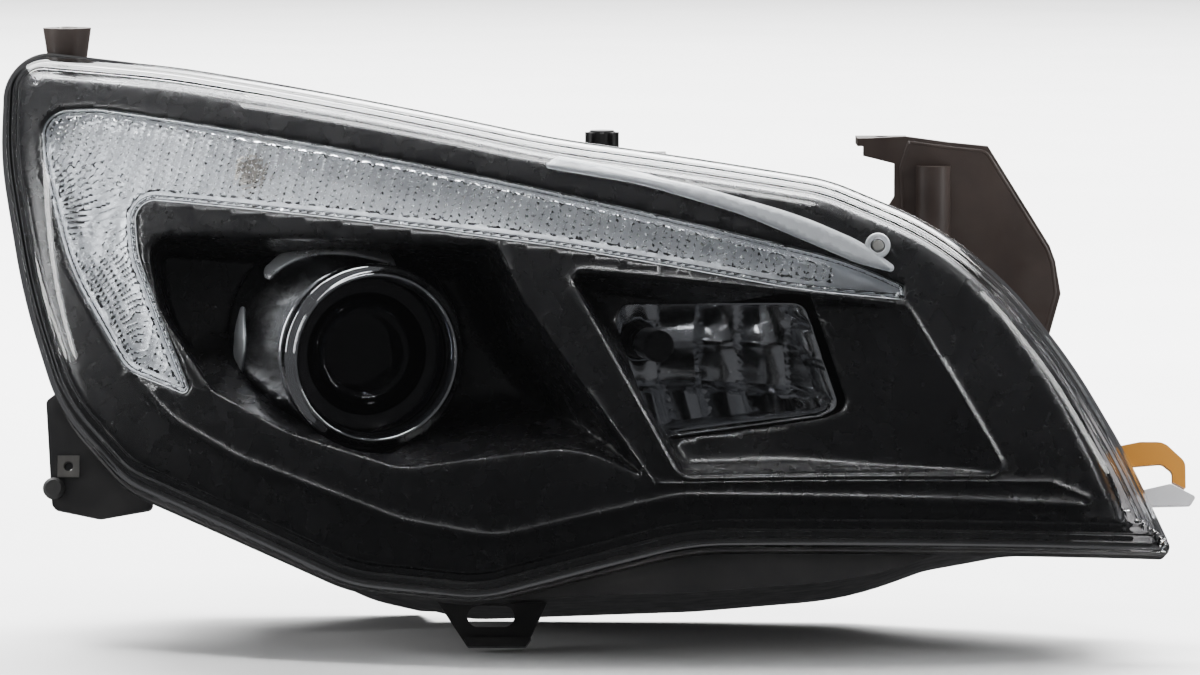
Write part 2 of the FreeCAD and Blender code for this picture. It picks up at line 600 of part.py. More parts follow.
def high_beam_reflector():
    """Off-axis dish behind a many-sided opening, with a bulb neck."""
    apex = size("high_apex")
    inside = prism(HIGH_OPENING, 0, -40, 100).common(paraboloid(size("high_focal"), apex))
    dish = dish_outside().cut(inside).cut(backwards(size("high_neck_bore"), V(0, 40, 0), apex + 20))
    dish.transformShape(FreeCAD.Placement(HIGH_ORIGIN, YAW).toMatrix())
    around = [(200, -100, 1), (450, -100, 1), (450, -260, 1), (200, -260, 1)]
    front = prism(around, 0, FAR_FRONT, size("high_front_gap"))
    front.transformShape(FACE.toMatrix())
    return dish.cut(front)


keep(shaped("high_reflector_dish", high_beam_reflector()), "high_beam_reflector")

HIGH_BULB_PROFILE = [("0", "-40"), ("5", "-40"), ("6", "-43"), ("6", "-70"), ("9.3", "-70"), ("9.3", "-87.2"),
                     ("13", "-87.2"), ("13", "-90"), ("8.5", "-90"), ("8.5", "0 - high_bulb_end"),
                     ("0", "0 - high_bulb_end")]
keep(turned("high_bulb_body", HIGH_BULB_PROFILE, HIGH_BEAM), "high_beam_bulb")

BULB_CAP_PROFILE = [("0", "-36"), ("6.5", "-36"), ("8", "-38"), ("8", "-54"), ("6.3", "-54"),
                    ("6.3", "-39.8"), ("0", "-39.8")]
keep(turned("high_bulb_cap_body", BULB_CAP_PROFILE, HIGH_BEAM), "high_beam_bulb_cap")


# ---------------------------------------------------------------- aiming frame and its pivots
def along_depth(radius, start, end):
    return Part.makeCylinder(radius, end - start.y, start, V(0, 1, 0))


def ball(radius):
    return Part.makeSphere(radius, PIVOT)


WEB_OUTLINE = [(74, -100), (190, -100), (200, -84), (232, -84), (244, -110), (348, -113), (384, -120),
               (394, -124), (394, -138), (380, -150), (376, -212), (238, -218), (232, -248), (198, -248),
               (192, -222), (74, -222)]
REFLECTOR_POSTS = [(276, -127), (284, -185), (330, -196)]
POST_ANGLES = (90, 210, 330)


def aiming_frame():
    """Flat web that carries both beams, with a ball seat, a nut seat and a cup for the levelling rod."""
    front, back = size("frame_front"), size("frame_back")
    low = V(size("low_along") - size("low_web_shift"), front - 4, size("low_up"))
    high = V(size("high_along") - size("high_web_shift"), front - 4, size("high_up"))
    corners = [V(along, front, up) for along, up in WEB_OUTLINE]
    solid = Part.Face(Part.makePolygon(corners + corners[:1])).extrude(V(0, back - front, 0))
    solid = solid.cut([along_depth(size("low_web_bore"), low, back + 2),
                       along_depth(size("high_web_bore"), high, back + 2)])
    posts = [frame_post(angle) for angle in POST_ANGLES]
    posts.append(along_depth(size("seat_rim"), PIVOT - V(0, 12, 0), back + 1))
    posts.append(along_depth(size("nut_bore") + 4.4, SIDE - V(0, 8, 0), back + 3))
    posts.append(along_depth(size("level_cup_rim"), LEVEL - V(0, 8, 0), back + 2))
    posts += [along_depth(5, V(along, -78, up), front + 1) for along, up in REFLECTOR_POSTS]
    solid = solid.fuse(posts)
    holes = [ball(size("socket_rim") + size("ball_gap")), along_depth(6.5, PIVOT, back + 4),
             along_depth(size("nut_bore") + 2.6, SIDE - V(0, 10, 0), back + 6),
             Part.makeSphere(size("level_ball") + 0.5, LEVEL),
             along_depth(size("level_ball") - 0.3, LEVEL, back + 6)]
    dish = dish_outside()
    dish.transformShape(FreeCAD.Placement(HIGH_ORIGIN, YAW).toMatrix())
    return max(solid.cut(holes + [dish]).Solids, key=lambda piece: piece.Volume)


def frame_post(angle):
    """Stand-off between the projector's flange and the web."""
    turn = math.radians(angle)
    ring = size("flange_rim") - 1
    foot = V(ring * math.cos(turn), ring * math.sin(turn), size("flange_back") - size("touch_gap"))
    shape = Part.makeCylinder(4, 80, foot, V(0, 0, -1))
    shape.transformShape(LOW_BEAM.toMatrix())
    limit = Part.makeBox(200, 200, 200, V(40, size("frame_back") - 200, -250))
    return shape.common(limit)


keep(shaped("aiming_frame_web", aiming_frame()), "aiming_frame")


# ---------------------------------------------------------------- pivot, adjusters and levelling motor
def rearward(origin):
    """Placement whose own +Z points to the rear of the lamp."""
    return FreeCAD.Placement(origin, FreeCAD.Rotation(V(1, 0, 0), -90))


def sphere(name, radius, origin):
    piece = doc.addObject("Part::Sphere", name)
    piece.setExpression("Radius", bound(radius))
    piece.Placement = FreeCAD.Placement(origin, FreeCAD.Rotation())
    return piece


wall_front = V(0, size("rear_wall") - size("housing_wall"), 0)
stud_root = V(PIVOT.x, wall_front.y, PIVOT.z)
stud = [sphere("stud_ball", "ball_radius", PIVOT),
        cylinder("stud_shank", "2.6", "rear_wall - housing_wall - pivot_depth", rearward(PIVOT)),
        cylinder("stud_flange", "8", "3", rearward(stud_root - V(0, 3, 0)))]
keep(joined("pivot_stud_solid", stud), "pivot_ball_stud")

socket_shell = cut("socket_shell", sphere("socket_outside", "socket_rim", PIVOT),
                   sphere("socket_inside", "ball_radius + ball_gap", PIVOT))
keep(cut("socket_open", socket_shell, cylinder("socket_mouth", "4.6", "12", rearward(PIVOT))), "pivot_socket")

SIDE_NUT_PROFILE = [("nut_bore", "-9"), ("nut_bore + 4.5", "-9"), ("nut_bore + 4.5", "-8.2"),
                    ("nut_bore + 2.4", "-8.2"), ("nut_bore + 2.4", "9"), ("nut_bore", "9")]
keep(turned("side_nut_body", SIDE_NUT_PROFILE, rearward(SIDE)), "side_adjuster_nut")

SIDE_SCREW_PROFILE = [("0", "-22"), ("thread_radius - 1", "-22"), ("thread_radius", "-20"),
                      ("thread_radius", "52.5"), ("12", "52.5"), ("13", "54"), ("13", "60"), ("11.5", "61.5"),
                      ("5", "61.5"), ("4", "57"), ("0", "57")]
keep(turned("side_adjuster_body", SIDE_SCREW_PROFILE, rearward(SIDE)), "horizontal_adjuster")

rod_ball = sphere("rod_ball", "level_ball", LEVEL)
rod_shank = cylinder("rod_shank", "level_rod_radius", "66", rearward(LEVEL))
keep(joined("rod_solid", [rod_ball, rod_shank]), "leveling_rod")

MOTOR = V(LEVEL.x, size("rear_wall") + size("touch_gap"), LEVEL.z)
motor_shell = turned("motor_shell", [("0", "0"), ("24", "0"), ("24", "20"), ("21", "24"), ("13", "26"),
                                     ("13", "38"), ("0", "38")], rearward(MOTOR))
motor_plug = block("motor_plug", (MOTOR.x + 8, 4, MOTOR.z - 11), (MOTOR.x + 44, 22, MOTOR.z + 11))
motor_ear = block("motor_ear", (MOTOR.x - 8, MOTOR.y, MOTOR.z - 30), (MOTOR.x + 8, 6, MOTOR.z + 30))
motor_solid = joined("motor_solid", [motor_shell, motor_plug, motor_ear])
rod_bore = cylinder("rod_bore", "level_rod_radius + 0.5", "21", rearward(MOTOR - V(0, 1, 0)))
shaft_bore = cylinder("shaft_bore", "4", "14", rearward(MOTOR + V(0, 25, 0)))
plug_room = block("plug_room", (MOTOR.x + 30, 6, MOTOR.z - 9), (MOTOR.x + 46, 20, MOTOR.z + 9))
motor_bores = joined("motor_bores", [rod_bore, shaft_bore, plug_room])
keep(cut("motor_bored", motor_solid, motor_bores), "leveling_motor")


LEVEL_KNOB_PROFILE = [("0", "27"), ("3.4", "27"), ("3.4", "39"), ("11", "39"), ("12", "40.5"), ("12", "48"),
                      ("10.5", "49.5"), ("4.5", "49.5"), ("3.5", "45"), ("0", "45")]
keep(turned("level_knob_body", LEVEL_KNOB_PROFILE, rearward(MOTOR)), "vertical_adjuster")


# ---------------------------------------------------------------- rear covers, bulb sockets, connector, vent
def rear_cap(name, rim, along, up, wall_depth):
    """Push-on cover: a plug inside the collar, a flange on its end and a bar to pull it off by."""
    seat = V(along, wall_depth - size("housing_wall") + size("collar_length"), up)
    plug = f"{rim} - collar_wall - cap_fit"
    profile = [("0", "1"), (plug + " - 2.5", "1"), (plug + " - 2.5", "0 - cap_plug"), (plug, "0 - cap_plug"),
               (plug, "touch_gap"), (rim + " + 2.5", "touch_gap"), (rim + " + 2.5", "cap_flange"),
               (rim + " - 9", "cap_flange"), (rim + " - 9", "7"), (rim + " - 15", "7"), (rim + " - 15", "4"),
               ("0", "4")]
    lid = turned(name + "_lid", profile, rearward(seat))
    half = size(rim) - 16
    bar = block(name + "_bar", (along - half, seat.y + 3.9, up - 4), (along + half, seat.y + 13, up + 4))
    return keep(joined(name + "_solid", [lid, bar]), name)


rear_cap("low_beam_cap", "low_cap_rim", size("low_cap_along"), size("low_up"), size("low_rear_wall"))
rear_cap("high_beam_cap", "high_cap_rim", size("high_cap_along"), size("high_up"), size("rear_wall"))


def wing_bulb(name, along, up, neck, bulb, tip):
    """Quarter-turn socket in a neck of the wing reflector, and the bulb that it holds."""
    place_along, place_up = size(along), size(up)
    seat = V(place_along, face_depth(place_along, place_up) + size("wing_tray_depth") + 10, place_up)
    frame = FACE * facing(seat)
    bore = neck + "_bore - 0.3"
    profile = [("0", "9"), (bore, "9"), (bore, "0 - touch_gap"), (neck + " + 3", "0 - touch_gap"),
               (neck + " + 3", "-3"), (neck + " - 2", "-3"), (neck + " - 2", "-10"), ("0", "-10")]
    body = turned(name + "_socket_body", profile, frame)
    low, high = (-size(neck) + 1, -1.8, -15), (size(neck) - 1, 1.8, -9.9)
    grip = block(name + "_socket_grip", low, high, frame)
    keep(joined(name + "_socket_solid", [body, grip]), name + "_bulb_socket")
    glass = [("0", "9.1"), (bulb, "9.1"), (bulb, f"{tip} - 4"), (f"{bulb} - 2.5", tip), ("0", tip)]
    keep(turned(name + "_bulb_body", glass, frame), name + "_bulb")


wing_bulb("turn", "turn_along", "turn_up", "turn_neck", "8.5", "28")
wing_bulb("position", "position_along", "position_up", "position_neck", "4.5", "25")

PLUG = (334, 5, -200)
plug_shell = block("plug_shell", (PLUG[0], 0.1, PLUG[2]), (PLUG[0] + 34, 20, PLUG[2] + 22))
plug_hollow = block("plug_hollow", (PLUG[0] + 2, PLUG[1], PLUG[2] + 2), (PLUG[0] + 32, 24, PLUG[2] + 20))
keep(cut("plug_open", plug_shell, plug_hollow), "main_connector")

VENT_PROFILE = [("0", "touch_gap"), ("4", "touch_gap"), ("4", "4"), ("9", "4"), ("9", "10"), ("7.5", "11.5"),
                ("0", "11.5")]
keep(turned("vent_body", VENT_PROFILE, rearward(V(356, 0, -150))), "vent_cap")


# ---------------------------------------------------------------- brackets, clips and small fittings
BRACKET_OUTLINE = [("408", "-57"), ("408", "-66"), ("424", "-70"), ("424", "-87"), ("419", "-95"),
                   ("427", "-112"), ("424", "-168"), ("478", "-202"), ("498", "-198"), ("503", "-163"),
                   ("510", "-137"), ("507", "-120"), ("504", "-112"), ("472", "-61"), ("452", "-59"),
                   ("430", "-56")]


def standing(along, depth, up):
    """Placement with the row frame's own directions at a point."""
    return FreeCAD.Placement(V(along, depth, up), FreeCAD.Rotation())


web_middle = standing(0, -size("bracket_plate") / 2, 0)
bracket_web = plate("bracket_web", BRACKET_OUTLINE, "bracket_plate", web_middle)
hook = block("bracket_hook", (405, -4, -61), (431, 20, -57))
bulge = cylinder("bracket_bulge", "9", "38", standing(444, -3, -109))
bracket_solid = joined("bracket_solid", [bracket_web, hook, bulge])
hook_bore = cylinder("hook_bore", "bracket_bore", "12", standing(418, 10, -65))
screw_holes = [cylinder(f"bracket_hole_{index}", "2.3", "20", rearward(V(along, -10, up)))
               for index, (along, up) in enumerate(BRACKET_BOSSES)]
bracket_bores = joined("bracket_holes", [hook_bore] + screw_holes)
keep(cut("bracket_drilled", bracket_solid, bracket_bores), "grille_bracket")
SCREW_PROFILE = [("0", "-13"), ("1.9", "-13"), ("1.9", "touch_gap"), ("5", "touch_gap"), ("5", "2"),
                 ("4", "3.6"), ("0", "3.6")]
screws = [turned(f"bracket_screw_{index}", SCREW_PROFILE, rearward(V(along, 0, up)))
          for index, (along, up) in enumerate(BRACKET_BOSSES)]
screw_set = doc.addObject("Part::Compound", "bracket_screw_set")
screw_set.Links = screws
keep(screw_set, "bracket_screws")

LOOP = [(528.6, -206.5, 1), (541, -204, 5), (553, -204, 9), (563.5, -214, 6), (563.5, -227.6, 0.5),
        (557, -224.2, 0.5), (557, -219, 3.5), (552, -215, 3.5), (534.2, -216.5, 1)]
TONGUE = [(540.4, -228.5, 0.5), (556, -224.9, 3), (568.5, -231.4, 1.5), (566, -235.5, 1), (544.4, -236, 0.5)]
keep(shaped("retainer_loop_solid", prism(LOOP, 0, -38, -32), FACE), "retainer_loop")
keep(shaped("guide_tongue_solid", prism(TONGUE, 0, -38, -30), FACE), "guide_tongue")

clip_place = FACE * facing(V(CLIP[0], 14, CLIP[1]))
clip_plate = block("clip_plate", (-5.5, -5.5, 0.1), (5.5, 5.5, 1.4), clip_place)
clip_collar = cylinder("clip_collar", "clip_bore + 0.5", "4", clip_place * standing(0, 0, -3))
clip_thread = cylinder("clip_thread", "clip_bore", "12", clip_place * standing(0, 0, -6))
keep(cut("clip_tapped", joined("clip_solid", [clip_plate, clip_collar]), clip_thread), "speed_nut")

STOP_PROFILE = [("0", "touch_gap"), ("5.5", "touch_gap"), ("5.5", "4"), ("4", "6"), ("0", "6")]
keep(turned("stop_body", STOP_PROFILE, FACE * facing(V(-3, 14, -221))), "lower_stop")

PEG = V(274, -64, -60)
peg_core = cylinder("peg_core", "6", "11", standing(PEG.x, PEG.y, PEG.z + size("touch_gap")))
ribs = [block(f"peg_rib_{index}", (-8.5, -1, 0.1), (8.5, 1, 10.2),
              FreeCAD.Placement(PEG, FreeCAD.Rotation(V(0, 0, 1), 45 * index))) for index in range(4)]
keep(joined("peg_solid", [peg_core] + ribs), "locating_peg")

SLEEVE_PROFILE = [("sleeve_bore", "0 - sleeve_length"), ("sleeve_rim", "0 - sleeve_length"),
                  ("sleeve_rim", "0"), ("sleeve_bore", "0")]
keep(turned("sleeve_body", SLEEVE_PROFILE, FreeCAD.Placement()), "outer_mount_sleeve")


# ---------------------------------------------------------------- checks and files
doc.recompute()
for entry in doc.Objects:
    if "Invalid" in entry.State or "Error" in entry.State:
        raise RuntimeError(f"{entry.Name} did not recompute: {entry.State}")
os.makedirs("parts", exist_ok=True)
for name, piece in nodes.items():
    shape = piece.Shape
    if shape.isNull() or not shape.isValid() or not shape.Solids:
        raise RuntimeError(f"{name} has no valid solid")
    shape.exportStep(f"parts/{name}.step")
    print(f"{name}: {len(shape.Solids)} solid(s), {shape.Volume / 1000:.1f} cm3")
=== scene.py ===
import math

import bmesh
import bpy
import numpy as np
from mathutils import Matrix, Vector
from mathutils.geometry import delaunay_2d_cdt


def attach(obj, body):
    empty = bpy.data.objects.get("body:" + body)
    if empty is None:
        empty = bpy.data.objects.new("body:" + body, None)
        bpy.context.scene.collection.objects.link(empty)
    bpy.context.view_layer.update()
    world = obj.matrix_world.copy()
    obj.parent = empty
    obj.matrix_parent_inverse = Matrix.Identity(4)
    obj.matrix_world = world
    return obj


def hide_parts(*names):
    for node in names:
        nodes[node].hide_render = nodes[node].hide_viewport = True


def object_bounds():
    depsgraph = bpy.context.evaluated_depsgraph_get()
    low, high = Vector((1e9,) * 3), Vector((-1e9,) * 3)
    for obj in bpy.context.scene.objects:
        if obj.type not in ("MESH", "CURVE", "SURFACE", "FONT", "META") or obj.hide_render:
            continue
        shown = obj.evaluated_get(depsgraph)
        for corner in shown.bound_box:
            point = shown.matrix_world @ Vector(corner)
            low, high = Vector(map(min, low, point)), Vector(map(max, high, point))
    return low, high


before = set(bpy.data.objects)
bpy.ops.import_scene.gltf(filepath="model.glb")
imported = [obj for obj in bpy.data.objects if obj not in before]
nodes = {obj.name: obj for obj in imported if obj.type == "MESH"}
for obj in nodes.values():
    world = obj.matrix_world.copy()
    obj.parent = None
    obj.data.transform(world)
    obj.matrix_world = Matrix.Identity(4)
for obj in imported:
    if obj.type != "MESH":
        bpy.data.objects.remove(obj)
cad_bounds = [list(corner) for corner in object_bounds()]
MM = 0.001

# ---------------------------------------------------------------- frames and outlines (millimetres)
# The face frame leans back with the lamp: along it, backwards from it and up it.
LEAN = math.radians(15)
DROP = 14
# The cover bulges about an apex, with one radius across the lamp and one up it.
APEX_ALONG, APEX_UP, APEX_DEPTH = 330, -140, -122
ACROSS_RADIUS, UP_RADIUS = 760, 360
RIM_DEPTH, RIM_RADIUS = -68, 800
# The bezel lies this far behind the cover; its two pockets go down to flat floors.
BEZEL_DEPTH = 14
LOW_FLOOR, HIGH_FLOOR = -16, -74
# Both beams point level and forwards, turned towards the lamp's pointed inner end.
YAW = math.radians(18)
LOW_ORIGIN = (164, -126, -157)
HIGH_ORIGIN = (314, -136, -154)

LENS_OUTLINE = [(-33.5, 7.5, 22), (60, -11.5, 600), (250, -60, 500), (385, -82, 90), (440, -105, 160),
                (475, -134, 160), (505, -171, 300), (532, -214, 400), (557, -261, 3.5), (318, -262.5, 150),
                (215, -287, 70), (150, -279, 80), (36, -225, 45), (2, -187, 90), (-17, -130, 400),
                (-32, -55, 200)]
WING_OUTLINE = [(-11, -30, 13), (20, -32, 60), (395, -124.5, 200), (421, -136, 1), (421, -143.5, 1),
                (370, -139.5, 400), (250, -117, 500), (41, -83, 9), (44, -112, 40), (73, -185.5, 3),
                (38, -170, 20), (8, -118, 150), (-8, -62, 150)]
LOW_POCKET = [(47, -102, 10), (224, -115.5, 14), (236, -142, 60), (299, -232, 3), (262, -215, 60),
              (176, -224, 40), (120, -205, 80), (82, -183, 12), (54, -140, 60)]
HIGH_POCKET = [(256, -129, 5), (421, -147, 6), (470, -226, 4), (312, -229, 10)]
HIGH_OPENING = [(-24, 22, 5), (63, 22, 6), (75, -27, 5), (66, -31, 5), (-8, -41, 5), (-18, -23, 8),
                (-27, 14, 6)]


def to_row(along, depth, up):
    """Face-frame coordinates (arrays) to row-frame millimetres."""
    depth, up = np.asarray(depth, float), np.asarray(up, float)
    y = -DROP + depth * math.cos(LEAN) + up * math.sin(LEAN)
    z = -DROP - depth * math.sin(LEAN) + up * math.cos(LEAN)
    return np.stack([np.asarray(along, float) + 0 * y, y, z], axis=-1)


def to_face(points):
    """Row-frame millimetres to (along, depth, up)."""
    y, z = points[:, 1] + DROP, points[:, 2] + DROP
    return points[:, 0], y * math.cos(LEAN) - z * math.sin(LEAN), y * math.sin(LEAN) + z * math.cos(LEAN)


def beam_to_row(origin, across, back, up):
    """Coordinates about a beam axis (across, backwards, up) to row-frame millimetres."""
    across, back, up = (np.asarray(value, float) for value in np.broadcast_arrays(across, back, up))
    x = origin[0] + across * math.cos(YAW) - back * math.sin(YAW)
    y = origin[1] + across * math.sin(YAW) + back * math.cos(YAW)
    return np.stack([x, y, origin[2] + up], axis=-1)


def face_depth(along, up):
    """Depth of the lens face over a point of the leaned face."""
    reach = ACROSS_RADIUS - UP_RADIUS + np.sqrt(UP_RADIUS ** 2 - (np.asarray(up, float) - APEX_UP) ** 2)
    return APEX_DEPTH + ACROSS_RADIUS - np.sqrt(reach ** 2 - (np.asarray(along, float) - APEX_ALONG) ** 2)


def rim_depth(along):
    """Depth of the housing's rim, where the cover's foot stands."""
    return RIM_DEPTH + RIM_RADIUS - np.sqrt(RIM_RADIUS ** 2 - (np.asarray(along, float) - APEX_ALONG) ** 2)


# ---------------------------------------------------------------- outlines, distances, smooth functions
LEAST_RADIUS = 0.3
WIDEST_TURN = 0.2
CHUNK = 4000


def rounded(corners, inset=0.0, step=2.0, closed=True):
    """Points along straight runs and tangent arcs through (along, up, radius) corners, moved inwards."""
    flat = np.array([corner[:2] for corner in corners], float)
    count = len(flat)
    area = np.sum(flat[:, 0] * np.roll(flat[:, 1], -1) - np.roll(flat[:, 0], -1) * flat[:, 1])
    turn = 1 if area > 0 else -1
    runs = np.roll(flat, -1, axis=0) - flat
    runs /= np.linalg.norm(runs, axis=1)[:, None]
    normals = np.stack([-runs[:, 1], runs[:, 0]], axis=1) * turn
    arcs = []
    for i in range(count):
        before, after = runs[i - 1], runs[i]
        if not closed and i in (0, count - 1):
            arcs.append([flat[i]])
            continue
        shift = (normals[i - 1] + normals[i]) * inset / (1 + normals[i - 1] @ normals[i])
        cross = before[0] * after[1] - before[1] * after[0]
        convex = cross * turn > 0
        radius = max(corners[i][2] - inset if convex else corners[i][2] + inset, LEAST_RADIUS)
        angle = math.acos(max(-1, min(1, before @ after)))
        corner = flat[i] + shift
        inward = (after - before) / max(np.linalg.norm(after - before), 1e-9)
        centre = corner + inward * radius / math.cos(angle / 2)
        start = corner - before * radius * math.tan(angle / 2) - centre
        pieces = max(2, math.ceil(max(radius * angle / step, angle / WIDEST_TURN)))
        side = 1 if cross > 0 else -1
        for k in range(pieces + 1):
            swing = side * angle * k / pieces
            c, s = math.cos(swing), math.sin(swing)
            arcs.append([centre + np.array([c * start[0] - s * start[1], s * start[0] + c * start[1]])])
    points = np.array([point for arc in arcs for point in arc])
    return resample(points, step, closed)


def resample(points, step, closed):
    """Adds points so that no run is longer than the step."""
    result = []
    count = len(points) if closed else len(points) - 1
    for i in range(count):
        a, b = points[i], points[(i + 1) % len(points)]
        pieces = max(1, math.ceil(np.linalg.norm(b - a) / step))
        result += [a + (b - a) * k / pieces for k in range(pieces)]
    if not closed:
        result.append(points[-1])
    return np.array(result)


def gap_to(points, line, closed):
    """Distance of each point from a line of points."""
    a = line if closed else line[:-1]
    b = np.roll(line, -1, axis=0) if closed else line[1:]
    run = b - a
    length = np.maximum((run ** 2).sum(1), 1e-12)
    best = np.full(len(points), np.inf)
    for start in range(0, len(points), CHUNK):
        part = points[start:start + CHUNK]
        offset = part[:, None, :] - a[None]
        share = np.clip((offset * run[None]).sum(2) / length[None], 0, 1)
        away = offset - share[..., None] * run[None]
        best[start:start + CHUNK] = np.sqrt((away ** 2).sum(2).min(1))
    return best


def place_along(points, line):
    """How far round a closed line the nearest spot to each point lies."""
    run = np.roll(line, -1, axis=0) - line
    length = np.linalg.norm(run, axis=1)
    start_of = np.concatenate([[0], np.cumsum(length)[:-1]])
    result = np.zeros(len(points))
    for start in range(0, len(points), CHUNK):
        part = points[start:start + CHUNK]
        offset = part[:, None, :] - line[None]
        share = np.clip((offset * run[None]).sum(2) / np.maximum(length ** 2, 1e-12)[None], 0, 1)
        away = ((offset - share[..., None] * run[None]) ** 2).sum(2)
        nearest = away.argmin(1)
        rows = np.arange(len(part))
        result[start:start + CHUNK] = start_of[nearest] + share[rows, nearest] * length[nearest]
    return result


def within(points, line):
    """Which points lie inside a closed line."""
    a, b = line, np.roll(line, -1, axis=0)
    inside = np.zeros(len(points), bool)
    for (ax, ay), (bx, by) in zip(a, b):
        if ay == by:
            continue
        crosses = (points[:, 1] < ay) != (points[:, 1] < by)
        edge = ax + (points[:, 1] - ay) * (bx - ax) / (by - ay)
        inside ^= crosses & (points[:, 0] < edge)
    return inside


def inset_of(points, line):
    """Distance inside a closed line, negative outside it."""
    gap = gap_to(points, line, True)
    return np.where(within(points, line), gap, -gap)


def shifted(line, gap, closed=False):
    """A line moved sideways."""
    run = np.roll(line, -1, axis=0) - np.roll(line, 1, axis=0) if closed else np.gradient(line, axis=0)
    run /= np.linalg.norm(run, axis=1)[:, None]
    return line + np.stack([-run[:, 1], run[:, 0]], axis=1) * gap


def ease(value):
    """Smooth step from 0 to 1."""
    value = np.clip(value, 0, 1)
    return value * value * (3 - 2 * value)


def smooth_min(first, second, blend):
    """The lower of two surfaces, with a fillet where they cross."""
    share = np.clip(0.5 + 0.5 * (second - first) / blend, 0, 1)
    return second * (1 - share) + first * share - blend * share * (1 - share)


# ---------------------------------------------------------------- meshes
GRID_ROW = 0.87  # row spacing of an even triangle grid


def add_mesh(name, points, faces, smooth=True):
    """A mesh object from row-frame millimetres."""
    mesh = bpy.data.meshes.new(name)
    mesh.from_pydata([tuple(point) for point in np.asarray(points) * MM], [], [tuple(face) for face in faces])
    mesh.validate()
    mesh.update()
    thing = bpy.data.objects.new(name, mesh)
    bpy.context.scene.collection.objects.link(thing)
    if smooth:
        mesh.polygons.foreach_set("use_smooth", [True] * len(mesh.polygons))
    return thing


def patch_mesh(name, boundary, lines, spacing, place, keep=None):
    """A curved sheet over a closed boundary, whose edges follow the lines given as (points, closed).

    place turns (n, 2) flat points into row-frame points. keep says which faces stay.
    """
    low, high = boundary.min(0), boundary.max(0)
    xs = np.arange(low[0] + spacing / 2, high[0], spacing)
    ys = np.arange(low[1] + spacing / 2, high[1], spacing * GRID_ROW)
    grid = np.array([(x + (row % 2) * spacing / 2, y) for row, y in enumerate(ys) for x in xs])
    grid = grid[within(grid, boundary)]
    grid = grid[gap_to(grid, boundary, True) > spacing * 0.5]
    chains = [(boundary, True)] + list(lines)
    for line, closed in lines:
        grid = grid[gap_to(grid, line, closed) > spacing * 0.45]
    points, edges = [Vector(point) for point in grid], []
    for line, closed in chains:
        first = len(points)
        points += [Vector(point) for point in line]
        edges += [(first + i, first + i + 1) for i in range(len(line) - 1)]
        if closed:
            edges.append((len(points) - 1, first))
    flat, _, faces, *_ = delaunay_2d_cdt(points, edges, [], 0, 1e-5)
    flat = np.array([tuple(point) for point in flat])
    faces = np.array([face for face in faces if len(face) == 3])
    middles = flat[faces].mean(1)
    stays = within(middles, boundary)
    if keep is not None:
        stays &= keep(middles)
    faces = faces[stays]
    used = np.unique(faces)
    renumber = np.zeros(len(flat), int)
    renumber[used] = np.arange(len(used))
    flat, faces = flat[used], renumber[faces]
    a, b, c = (flat[faces[:, k]] for k in range(3))
    area = (b[:, 0] - a[:, 0]) * (c[:, 1] - a[:, 1]) - (b[:, 1] - a[:, 1]) * (c[:, 0] - a[:, 0])
    faces[area < 0] = faces[area < 0][:, ::-1]
    return add_mesh(name, place(flat), faces)


def lathe(name, profile, origin, axis, segments, closed=True):
    """A turned piece from (radius, distance along the axis) points."""
    axis = Vector(axis).normalized()
    side = axis.cross(Vector((0, 0, 1)))
    side = side.normalized() if side.length > 0.01 else Vector((1, 0, 0))
    other = axis.cross(side)
    points, faces = [], []
    for k in range(segments):
        angle = 2 * math.pi * k / segments
        spoke = side * math.cos(angle) + other * math.sin(angle)
        points += [tuple(Vector(origin) + spoke * radius + axis * height) for radius, height in profile]
    count = len(profile)
    span = count if closed else count - 1
    for k in range(segments):
        here, there = k * count, ((k + 1) % segments) * count
        faces += [(here + i, there + i, there + (i + 1) % count, here + (i + 1) % count) for i in range(span)]
    thing = add_mesh(name, points, faces)
    tidy(thing)
    return thing


def sweep_round(name, line, section, depth):
    """A moulding run round a closed face line.

    section holds (inwards, backwards) points; depth(along) gives their datum.
    """
    run = np.roll(line, -1, axis=0) - np.roll(line, 1, axis=0)
    run /= np.linalg.norm(run, axis=1)[:, None]
    inwards = np.stack([run[:, 1], -run[:, 0]], axis=1)
    rings = []
    for offset, back in section:
        flat = line + inwards * offset
        rings.append(to_row(flat[:, 0], depth(flat[:, 0]) + back, flat[:, 1]))
    count, sides = len(line), len(section)
    points = np.concatenate(rings)
    faces = [(j * count + i, j * count + (i + 1) % count, (j + 1) % sides * count + (i + 1) % count,
              (j + 1) % sides * count + i) for j in range(sides) for i in range(count)]
    thing = add_mesh(name, points, faces)
    tidy(thing)
    return flat_edges(thing, 40)


def tidy(thing):
    """Joins doubled points and turns all faces outwards."""
    work = bmesh.new()
    work.from_mesh(thing.data)
    bmesh.ops.remove_doubles(work, verts=work.verts, dist=0.01 * MM)
    bmesh.ops.dissolve_degenerate(work, edges=work.edges, dist=0.0001 * MM)
    bmesh.ops.recalc_face_normals(work, faces=work.faces)
    work.to_mesh(thing.data)
    work.free()


def thicken(thing, thickness, offset=-1.0):
    """Gives a sheet its wall; the offset says on which side."""
    solid = thing.modifiers.new("wall", "SOLIDIFY")
    solid.thickness = thickness * MM
    solid.offset = offset
    solid.use_quality_normals = True


SHARP = 35


def soften(thing, width):
    """Rounds sharp edges."""
    bevel = thing.modifiers.new("edges", "BEVEL")
    bevel.width = width * MM
    bevel.segments = 3
    bevel.limit_method = "ANGLE"
    bevel.angle_limit = math.radians(SHARP)
    bevel.harden_normals = False
    for polygon in thing.data.polygons:
        polygon.use_smooth = True


def flat_edges(thing, angle=SHARP):
    """Smooth shading that keeps edges sharper than an angle."""
    thing.data.set_sharp_from_angle(angle=math.radians(angle))
    return thing


# ---------------------------------------------------------------- materials
def new_material(name):
    """A material with its node tree and its shader."""
    material = bpy.data.materials.new(name)
    material.use_nodes = True
    tree = material.node_tree
    return material, tree, tree.nodes["Principled BSDF"]


